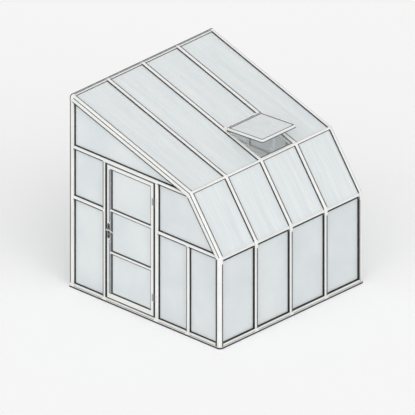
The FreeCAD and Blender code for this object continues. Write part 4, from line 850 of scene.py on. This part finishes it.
def door_stile_shade_strip():
    """Grey strip of painted shade on the latch stile: on its slope beside each pane, and on its flat face.
    """
    slope = [(0.0190, 0.0010), (0.0180, TRIM_GAP), (0.0150, 0.0042), (0.0112, 0.0080), (0.0074, 0.0108),
             (0.0068, 0.0130)]
    flat = [(0.0370, TRIM_GAP), (0.0360, -0.0012), (0.0205, -0.0012), (0.0194, TRIM_GAP)]
    pane_edge = LEAF_LATCH_Y - LEAF_BAR
    plate_gap = 0.121
    below = (LEAF_LOW + LEAF_BAR, HANDLE_Z - plate_gap)
    above = (HANDLE_Z + plate_gap, LEAF_TOP - LEAF_BAR)
    lofts = []
    for ends in (below, above):
        lofts.append([[on_leaf(pane_edge + u, z, deep) for u, deep in flat] for z in ends])
    # The ends follow the mitre at the corners of the pane.
    mitre_end = 0.0135
    for low, high in leaf_panes():
        rings = []
        for z, way in ((low, 1), (high, -1)):
            ring = []
            for u, deep in slope:
                mitre = min(u, mitre_end) - 0.0005
                ring.append(on_leaf(pane_edge + u, z - way*mitre, deep))
            rings.append(ring)
        lofts.append(rings)
    put(lofted_mesh("door_stile_shade_strip", lofts), "door", BEVEL_SHADE_GREY)


# Trims of the base
SADDLE_HALF = 0.036


def on_base(side, along):
    """Place at the foot of a side's base rail, or of the front one for side 0."""
    return (side*SIDE_X, along, 0) if side else (along, -FRONT_Y, 0)


def base_rails():
    """Each base rail: its side, the middles of its posts, its two ends and the way indoors."""
    left = (LATCH_POST + POST_WIDE/2, HINGE_POST_END - POST_WIDE/2, MULLION_FROM_WALL + BAR_WIDE/2)
    right = [near + BAR_WIDE/2 for near in RIGHT_BARS]
    corner_gap = 0.011
    reach = SIDE_X - GABLE_WIDE - corner_gap
    front_end = -FRONT_Y + GABLE_DEEP + corner_gap
    rails = [(0, list(MULLION_X), -reach, reach, (0, 1, 0))]
    for side, posts in ((-1, left), (1, right)):
        middles = [WALL_Y - post for post in posts][::-1] + [WALL_Y - SADDLE_HALF - END_GAP]
        rails.append((side, middles, front_end, WALL_Y - END_GAP, (-side, 0, 0)))
    return rails


def base_saddles():
    """Moulded saddles on the base rails under each post, with grey beads in the step between them."""
    top = BASE_FLANGE + BASE_STEP
    path = [(-BASE_STEP, SHADOW_STRIP_HIGH + 0.0005), (-BASE_STEP, BASE_FLANGE), (0.0, top),
            (0.0, BASE_HIGH - 0.005), (0.0015, BASE_HIGH - 0.0015), (0.005, BASE_HIGH)]
    skin = cover(path, -1)
    bead = [(-0.0042, top - 0.0044), (-0.0046, top - 0.0030), (-0.0018, top - TRIM_GAP),
            (-0.0003, top - 0.0005)]
    shortest_bead = 0.010
    saddles = []
    beads = []
    for side, middles, begin, end, inward in base_rails():
        run = begin
        for middle in middles + [end + SADDLE_HALF]:
            stop = middle - SADDLE_HALF - END_GAP
            if stop - run > shortest_bead:
                beads.append(strip(bead, on_base(side, run), on_base(side, stop), inward, (0, 0, 1)))
            if middle < end:
                ends = [on_base(side, middle + reach) for reach in (-SADDLE_HALF, SADDLE_HALF)]
                saddles.append(strip(skin, *ends, inward, (0, 0, 1)))
            run = middle + SADDLE_HALF + END_GAP
    put(lofted_mesh("base_saddles", saddles), "frame", RESIN_MOULDED)
    put(lofted_mesh("base_step_beads", beads), "frame", GREY_LIP)


def base_shadow_strip():
    """Black strip along the floor, a painted contact shadow, in one length round both front corners."""
    section = [(-TRIM_GAP, 0.0), (-0.0040, 0.0), (-0.0040, SHADOW_STRIP_HIGH - 0.004),
               (-0.0025, SHADOW_STRIP_HIGH - 0.001), (-TRIM_GAP, SHADOW_STRIP_HIGH)]
    bend = CORNER_ROUND + BASE_STEP
    far = SIDE_X + BASE_STEP
    middle = -FRONT_Y - BASE_STEP + bend
    path = [(-far, WALL_Y - END_GAP)] + arc(-far + bend, middle, bend, 180, 270, 10)
    path += arc(far - bend, middle, bend, 270, 360, 10) + [(far, WALL_Y - END_GAP)]
    rings = trim_along(path, section, lambda x, y, z: (x, y, z))
    put(lofted_mesh("base_shadow_strips", [rings]), "frame", RUBBER)


# Trims of the roof
def gable_seams():
    """Black bead in the joint between each gable rafter and its cover strip."""
    lofts = []
    angle = math.acos((CORNER_ROUND - ROOF_SET)/CORNER_ROUND)
    middle = math.degrees(math.pi + (math.pi/2 - angle))
    bead = arc(CORNER_ROUND, CORNER_ROUND, CORNER_ROUND + TRIM_GAP, middle - 8, middle + 8, 4)
    bead += arc(CORNER_ROUND, CORNER_ROUND, CORNER_ROUND + 0.0014, middle + 7, middle - 7, 4)
    eave_end = STEEP_LONG - 0.020
    wall_end = ROOF_LONG - WALL_COVER_ARM - 2*END_GAP
    for side in (-1, 1):
        section = at_gable(bead, side)
        lofts.append(sweep(section, (on_steep(eave_end), on_knee, on_roof(wall_end))))
    put(lofted_mesh("gable_seams", lofts), "frame", RUBBER)


def vent_bead():
    """Black glazing bead round the vent pane, lip round the rim and nose along the hinged edge."""
    section = [(0.0003, 0.0203), (0.0003, 0.0222), (0.0015, 0.0230), (0.0115, 0.0230), (0.0130, 0.0218),
               (0.0133, 0.0203)]
    reach = SASH_HALF - SASH_RIM
    corners = box_corners(-reach, reach, SASH_END + SASH_RIM, SASH_BACK - SASH_RIM)
    loop = seal_loop(corners, section, on_sash)
    lip = [(-TRIM_GAP, -0.0118), (-0.0016, -0.0112), (-0.0018, -0.0015), (-TRIM_GAP, -0.0005)]
    bend = SASH_CORNER
    lip_end = SASH_BACK - 0.004
    rim = [(-SASH_HALF, lip_end)] + arc(-SASH_HALF + bend, SASH_END + bend, bend, 180, 270, 8)
    rim += arc(SASH_HALF - bend, SASH_END + bend, bend, 270, 360, 8) + [(SASH_HALF, lip_end)]
    rings = trim_along(rim, lip, on_sash)
    nose = [(-0.0014, 0.0100), (TRIM_GAP, 0.0110), (TRIM_GAP, TRIM_GAP), (0.0072, TRIM_GAP),
            (0.0062, -0.0014), (0.0004, -0.0014), (-0.0014, 0.0006)]
    nose_end = SASH_HALF - 0.003
    ends = [on_sash(x, SASH_BACK, SASH_TOP) for x in (-nose_end, nose_end)]
    turn = SASH_PLACE.to_3x3()
    back = strip(nose, *ends, turn @ Vector((0, 0, -1)), turn @ Vector((0, -1, 0)))
    put(lofted_mesh("vent_bead", [rings, back], [loop]), "vent", RUBBER)


def kerb_beads():
    """Black D seals on the kerb round the vent opening."""
    lofts = []
    half = BAY_CLEAR/2
    beside = ((0.0020, 0.0138), (0.0025, 0.0095), (0.0060, 0.0075), (0.0095, 0.0095), (0.0098, 0.0138))
    hinge_gap = 0.014
    for way in (-1, 1):
        section = [(VENT_X + way*(half - u), v) for u, v in beside]
        lofts.append(sweep(section, (on_roof(KNEE_COVER_UP), on_roof(VENT_REACH - hinge_gap))))
    below = [(0.0370, 0.0138), (0.0375, 0.0095), (0.0410, 0.0075), (0.0445, 0.0095), (0.0450, 0.0138)]
    reach = half - 2*END_GAP
    lofts.append(across_roof(below, 0.0, VENT_X - reach, VENT_X + reach))
    put(lofted_mesh("kerb_beads", lofts), "frame", RUBBER)


def eave_gussets():
    """Small curved corner pieces beside the heads of the front mullions."""
    lofts = []
    outline = [(0.0, 0.0)] + arc(GUSSET_ROUND, -GUSSET_ROUND, GUSSET_ROUND, 90, 180, 8)
    for centre in BAY_CENTRES:
        for way in (-1, 1):
            x = centre - way*(BAY_CLEAR/2 - GUSSET_GAP)
            rings = []
            for inset in (GUSSET_FRONT, GUSSET_BACK):
                top = eave_underside(inset) - TRIM_GAP
                rings.append([on_front(x + way*u, top + v, inset) for u, v in outline])
            lofts.append(rings)
    put(lofted_mesh("eave_gussets", lofts), "frame", RESIN_MOULDED)


# Fasteners
def head_of_fastener(tree, given):
    """Head that narrows at its top, with a drive sunk into the middle of it."""
    crown_share = 0.80
    rim_share = 0.45
    head = add(tree, "GeometryNodeMeshCylinder", {"Vertices": given["Sides"], "Side Segments": 2,
                                                  "Radius": given["Head radius"],
                                                  "Depth": given["Head height"]}, out=None).outputs
    crown = add(tree, "GeometryNodeScaleElements", {"Geometry": head["Mesh"], "Selection": head["Top"],
                                                    "Scale": crown_share})
    rim = add(tree, "GeometryNodeExtrudeMesh", {"Mesh": crown, "Selection": head["Top"],
                                                "Offset Scale": 0.0}, out=None).outputs
    rim = add(tree, "GeometryNodeScaleElements", {"Geometry": rim["Mesh"], "Selection": rim["Top"],
                                                  "Scale": rim_share})
    # The drive is the face that looks up and lies within a fifth of the head's radius of its middle.
    normal = add(tree, "GeometryNodeInputNormal")
    up = add(tree, "ShaderNodeSeparateXYZ", {0: normal}, out=2)
    place = add(tree, "GeometryNodeInputPosition")
    place = add(tree, "ShaderNodeVectorMath", {0: place, 1: (1.0, 1.0, 0.0)}, operation="MULTIPLY")
    away = add(tree, "ShaderNodeVectorMath", {0: place}, out="Value", operation="LENGTH")
    inner = add(tree, "ShaderNodeMath", {0: given["Head radius"], 1: 0.2}, operation="MULTIPLY")
    centre = add(tree, "FunctionNodeCompare", {"A": away, "B": inner},
                 data_type="FLOAT", operation="LESS_THAN")
    facing = add(tree, "FunctionNodeCompare", {"A": up, "B": 0.9},
                 data_type="FLOAT", operation="GREATER_THAN")
    socket = add(tree, "FunctionNodeBooleanMath", {0: centre, 1: facing}, operation="AND")
    deep = add(tree, "ShaderNodeMath", {0: given["Drive depth"], 1: -1.0}, operation="MULTIPLY")
    drive = add(tree, "GeometryNodeExtrudeMesh", {"Mesh": rim, "Selection": socket, "Offset Scale": deep})
    half = add(tree, "ShaderNodeMath", {0: given["Head height"], 1: 0.5}, operation="MULTIPLY")
    raised = add(tree, "ShaderNodeMath", {0: half, 1: given["Washer height"]}, operation="ADD")
    lift = add(tree, "ShaderNodeCombineXYZ", {2: raised})
    return add(tree, "GeometryNodeTransform", {"Geometry": drive, "Translation": lift})


def washer_of_fastener(tree, given):
    """Round washer that stands on its point."""
    washer = add(tree, "GeometryNodeMeshCylinder", {"Vertices": 18, "Radius": given["Washer radius"],
                                                    "Depth": given["Washer height"]}, out="Mesh")
    half = add(tree, "ShaderNodeMath", {0: given["Washer height"], 1: 0.5}, operation="MULTIPLY")
    lift = add(tree, "ShaderNodeCombineXYZ", {2: half})
    return add(tree, "GeometryNodeTransform", {"Geometry": washer, "Translation": lift})


def fastener_tree():
    """Washer and head at each point, turned to the way that the point faces."""
    tree = bpy.data.node_groups.new("fasteners", "GeometryNodeTree")
    sockets = tree.interface
    sockets.new_socket("Points", in_out="INPUT", socket_type="NodeSocketGeometry")
    sockets.new_socket("Sides", in_out="INPUT", socket_type="NodeSocketInt")
    for name in ("Head radius", "Head height", "Washer radius", "Washer height", "Drive depth"):
        sockets.new_socket(name, in_out="INPUT", socket_type="NodeSocketFloat")
    sockets.new_socket("Finish", in_out="INPUT", socket_type="NodeSocketMaterial")
    sockets.new_socket("Mesh", in_out="OUTPUT", socket_type="NodeSocketGeometry")
    given = add(tree, "NodeGroupInput", out=None).outputs
    joined = add(tree, "GeometryNodeJoinGeometry", out=None)
    tree.links.new(washer_of_fastener(tree, given), joined.inputs[0])
    tree.links.new(head_of_fastener(tree, given), joined.inputs[0])
    way = add(tree, "GeometryNodeInputNamedAttribute", {"Name": "way"}, out="Attribute",
              data_type="FLOAT_VECTOR")
    turn = add(tree, "FunctionNodeAlignRotationToVector", {"Vector": way}, axis="Z")
    copies = add(tree, "GeometryNodeInstanceOnPoints", {"Points": given["Points"],
                                                        "Instance": joined.outputs[0], "Rotation": turn})
    plain = add(tree, "GeometryNodeRealizeInstances", {0: copies})
    done = add(tree, "GeometryNodeSetMaterial", {"Geometry": plain, "Material": given["Finish"]})
    add(tree, "NodeGroupOutput", {0: done}, out=None)
    return tree


def fasteners(name, body, tree, spots, sizes, finish):
    """Plain mesh of the fasteners on one body; each spot is a place and the way it faces."""
    mesh = bpy.data.meshes.new(name + "_points")
    mesh.from_pydata([place for place, way in spots], [], [])
    ways = mesh.attributes.new("way", "FLOAT_VECTOR", "POINT")
    for item, (place, way) in zip(ways.data, spots):
        item.vector = way
    maker = bpy.data.objects.new(name + "_maker", mesh)
    bpy.context.scene.collection.objects.link(maker)
    modifier = maker.modifiers.new("fasteners", "NODES")
    modifier.node_group = tree
    inputs = {item.name: item.identifier for item in tree.interface.items_tree if item.in_out == "INPUT"}
    for label, value in {**sizes, "Finish": finish}.items():
        modifier[inputs[label]] = value
    whole = maker.evaluated_get(bpy.context.evaluated_depsgraph_get())
    plain = bpy.data.meshes.new_from_object(whole)
    plain.name = name
    maker.modifiers.remove(modifier)
    bpy.data.objects.remove(maker)
    put(plain, body, finish)


SCREW = {"Sides": 12, "Head radius": 0.0042, "Head height": 0.0022, "Washer radius": 0.0046,
         "Washer height": 0.0005, "Drive depth": 0.0012}
BOLT = {"Sides": 6, "Head radius": 0.0085, "Head height": 0.0055, "Washer radius": 0.0120,
        "Washer height": 0.0016, "Drive depth": 0.0004}
OUTDOORS = Vector((-1, 0, 0))


def hinge_screws(x, y):
    """Three screws in each door hinge leaf whose outer face is at x."""
    spacing = 0.032
    heights = [level + step*spacing for level in HINGE_LEVELS for step in (-1, 0, 1)]
    return [(Vector((x, y, z)), OUTDOORS) for z in heights]


def vent_hinge_screws():
    """Two screws in each vent hinge."""
    hinge_out = 0.190
    half_spacing = 0.012
    leaf_back = 0.024
    leaf_face = -0.001
    place = on_roof(VENT_REACH + leaf_back)
    across = [side*hinge_out + way*half_spacing for side in (-1, 1) for way in (-1, 1)]
    return [(place(VENT_X + x, leaf_face), Vector((0, -ROOF_SIN, ROOF_COS))) for x in across]


def handle_screws():
    """Screws near both ends of the two handle plates."""
    spots = []
    outside = LEAF_FACE_X - HANDLE_PLATE
    inside = LEAF_FACE_X + LEAF_THICK + HANDLE_PLATE
    half_spacing = 0.092
    for rise in (-half_spacing, half_spacing):
        spots.append((Vector((outside, HANDLE_Y, HANDLE_Z + rise)), OUTDOORS))
        spots.append((Vector((inside, HANDLE_Y, HANDLE_Z + rise)), -OUTDOORS))
    return spots


def fixing_bolts():
    """Bolts through the wall posts into the wall, and through the front base rail into the ground."""
    post_x = 1.2435
    post_levels = (0.400, 2.000)
    base_x = 0.630
    base_y = -1.231
    face = WALL_Y - WALL_POST_DEEP
    spots = [(Vector((side*post_x, face, z)), Vector((0, -1, 0))) for side in (-1, 1) for z in post_levels]
    spots += [(Vector((side*base_x, base_y, BASE_HIGH)), Vector((0, 0, 1))) for side in (-1, 1)]
    return spots


def all_fasteners():
    tree = fastener_tree()
    fixed = hinge_screws(x=-SIDE_X - HINGE_LEAF, y=-0.178) + vent_hinge_screws()
    moving = hinge_screws(x=LEAF_FACE_X - HINGE_LEAF, y=-0.126) + handle_screws()
    fasteners("frame_screws", "frame", tree, fixed, SCREW, STEEL)
    fasteners("frame_bolts", "frame", tree, fixing_bolts(), BOLT, STEEL)
    fasteners("door_screws", "door", tree, moving, SCREW, STEEL)


def build_all():
    dress_cad_nodes()
    joint_covers()
    wall_gaskets()
    cap_wings()
    underside_shade_beads()
    edge_shade_lips()
    corner_edge_shades()
    wall_edge_seals()
    door_gap_seals()
    door_edge_seal()
    door_pane_wedges()
    door_stile_shade_strip()
    base_saddles()
    base_shadow_strip()
    gable_seams()
    vent_bead()
    kerb_beads()
    eave_gussets()
    all_fasteners()


# Stage
FLOOR_HALF = 30
FLOOR_THICK = 0.05
FLOOR_GLOW = 0.10
SKY_LIGHT = 0.60
WHITE = (1, 1, 1, 1)
# The drawing's side in pixels, its scale in pixels to a metre, the way it looks and its middle
DRAWING_SIDE = 415
DRAWING_SCALE = 80.44
VIEW_AHEAD = (0.6501, 0.6157, -0.4454)
VIEW_LEVEL = 1.2
VIEW_SHIFT_RIGHT = -0.1139
VIEW_SHIFT_UP = -0.118
VIEW_AWAY = 10


def seen_background(tree):
    """1 where the camera, a gloss or a see-through pane shows the background, 0 where it only lights."""
    rays = add(tree, "ShaderNodeLightPath", out=None).outputs
    seen = add(tree, "ShaderNodeMath", {0: rays["Is Camera Ray"], 1: rays["Is Glossy Ray"]},
               operation="MAXIMUM")
    return add(tree, "ShaderNodeMath", {0: seen, 1: rays["Is Transmission Ray"]}, operation="MAXIMUM")


def floor():
    """Pale studio floor that keeps the object's shadow."""
    outline = box_corners(-FLOOR_HALF, FLOOR_HALF, -FLOOR_HALF, FLOOR_HALF)
    mesh = lofted_mesh("studio_floor", [[[(x, y, z) for x, y in outline] for z in (-FLOOR_THICK, 0.0)]])
    piece = bpy.data.objects.new("studio_floor", mesh)
    bpy.context.scene.collection.objects.link(piece)
    material, tree = new_material("studio_floor_white")[:2]
    glow = add(tree, "ShaderNodeMath", {0: seen_background(tree), 1: FLOOR_GLOW}, operation="MULTIPLY")
    close_material(material, tree, {"Base Color": colour("#f6f6f6"), "Roughness": 0.9,
                                    "Specular IOR Level": 0.0, "Emission Color": WHITE,
                                    "Emission Strength": glow})
    mesh.materials.append(material)


def sun(name, way, strength, softness):
    """Even soft light from one direction; softness in degrees."""
    data = bpy.data.lights.new(name, "SUN")
    data.energy = strength
    data.angle = math.radians(softness)
    piece = bpy.data.objects.new(name, data)
    piece.rotation_euler = (-Vector(way)).to_track_quat("-Z", "Y").to_euler()
    bpy.context.scene.collection.objects.link(piece)


def light():
    """White surroundings that light the object from all round, and two soft suns from the front left."""
    world = bpy.data.worlds.new("studio")
    bpy.context.scene.world = world
    world.use_nodes = True
    tree = world.node_tree
    tree.nodes.clear()
    level = add(tree, "ShaderNodeMapRange", {"Value": seen_background(tree), "To Min": SKY_LIGHT,
                                             "To Max": 1.0})
    back = add(tree, "ShaderNodeBackground", {"Color": WHITE, "Strength": level})
    add(tree, "ShaderNodeOutputWorld", {"Surface": back}, out=None)
    sun("key", (-0.25, -0.75, 0.61), strength=0.90, softness=50)
    sun("fill", (-0.85, -0.20, 0.49), strength=0.75, softness=60)


def camera():
    """Parallel view from the front left and above, as in the drawing."""
    ahead = Vector(VIEW_AHEAD).normalized()
    right = ahead.cross(Vector((0, 0, 1))).normalized()
    up = right.cross(ahead)
    target = Vector((0, 0, VIEW_LEVEL)) + VIEW_SHIFT_RIGHT*right + VIEW_SHIFT_UP*up
    data = bpy.data.cameras.new("camera")
    data.type = "ORTHO"
    data.ortho_scale = DRAWING_SIDE/DRAWING_SCALE
    data.clip_end = 10*VIEW_AWAY
    piece = bpy.data.objects.new("camera", data)
    piece.location = target - VIEW_AWAY*ahead
    piece.rotation_euler = ahead.to_track_quat("-Z", "Y").to_euler()
    bpy.context.scene.collection.objects.link(piece)
    bpy.context.scene.camera = piece


build_all()
floor()
light()
camera()
bpy.context.scene.view_settings.view_transform = "Standard"
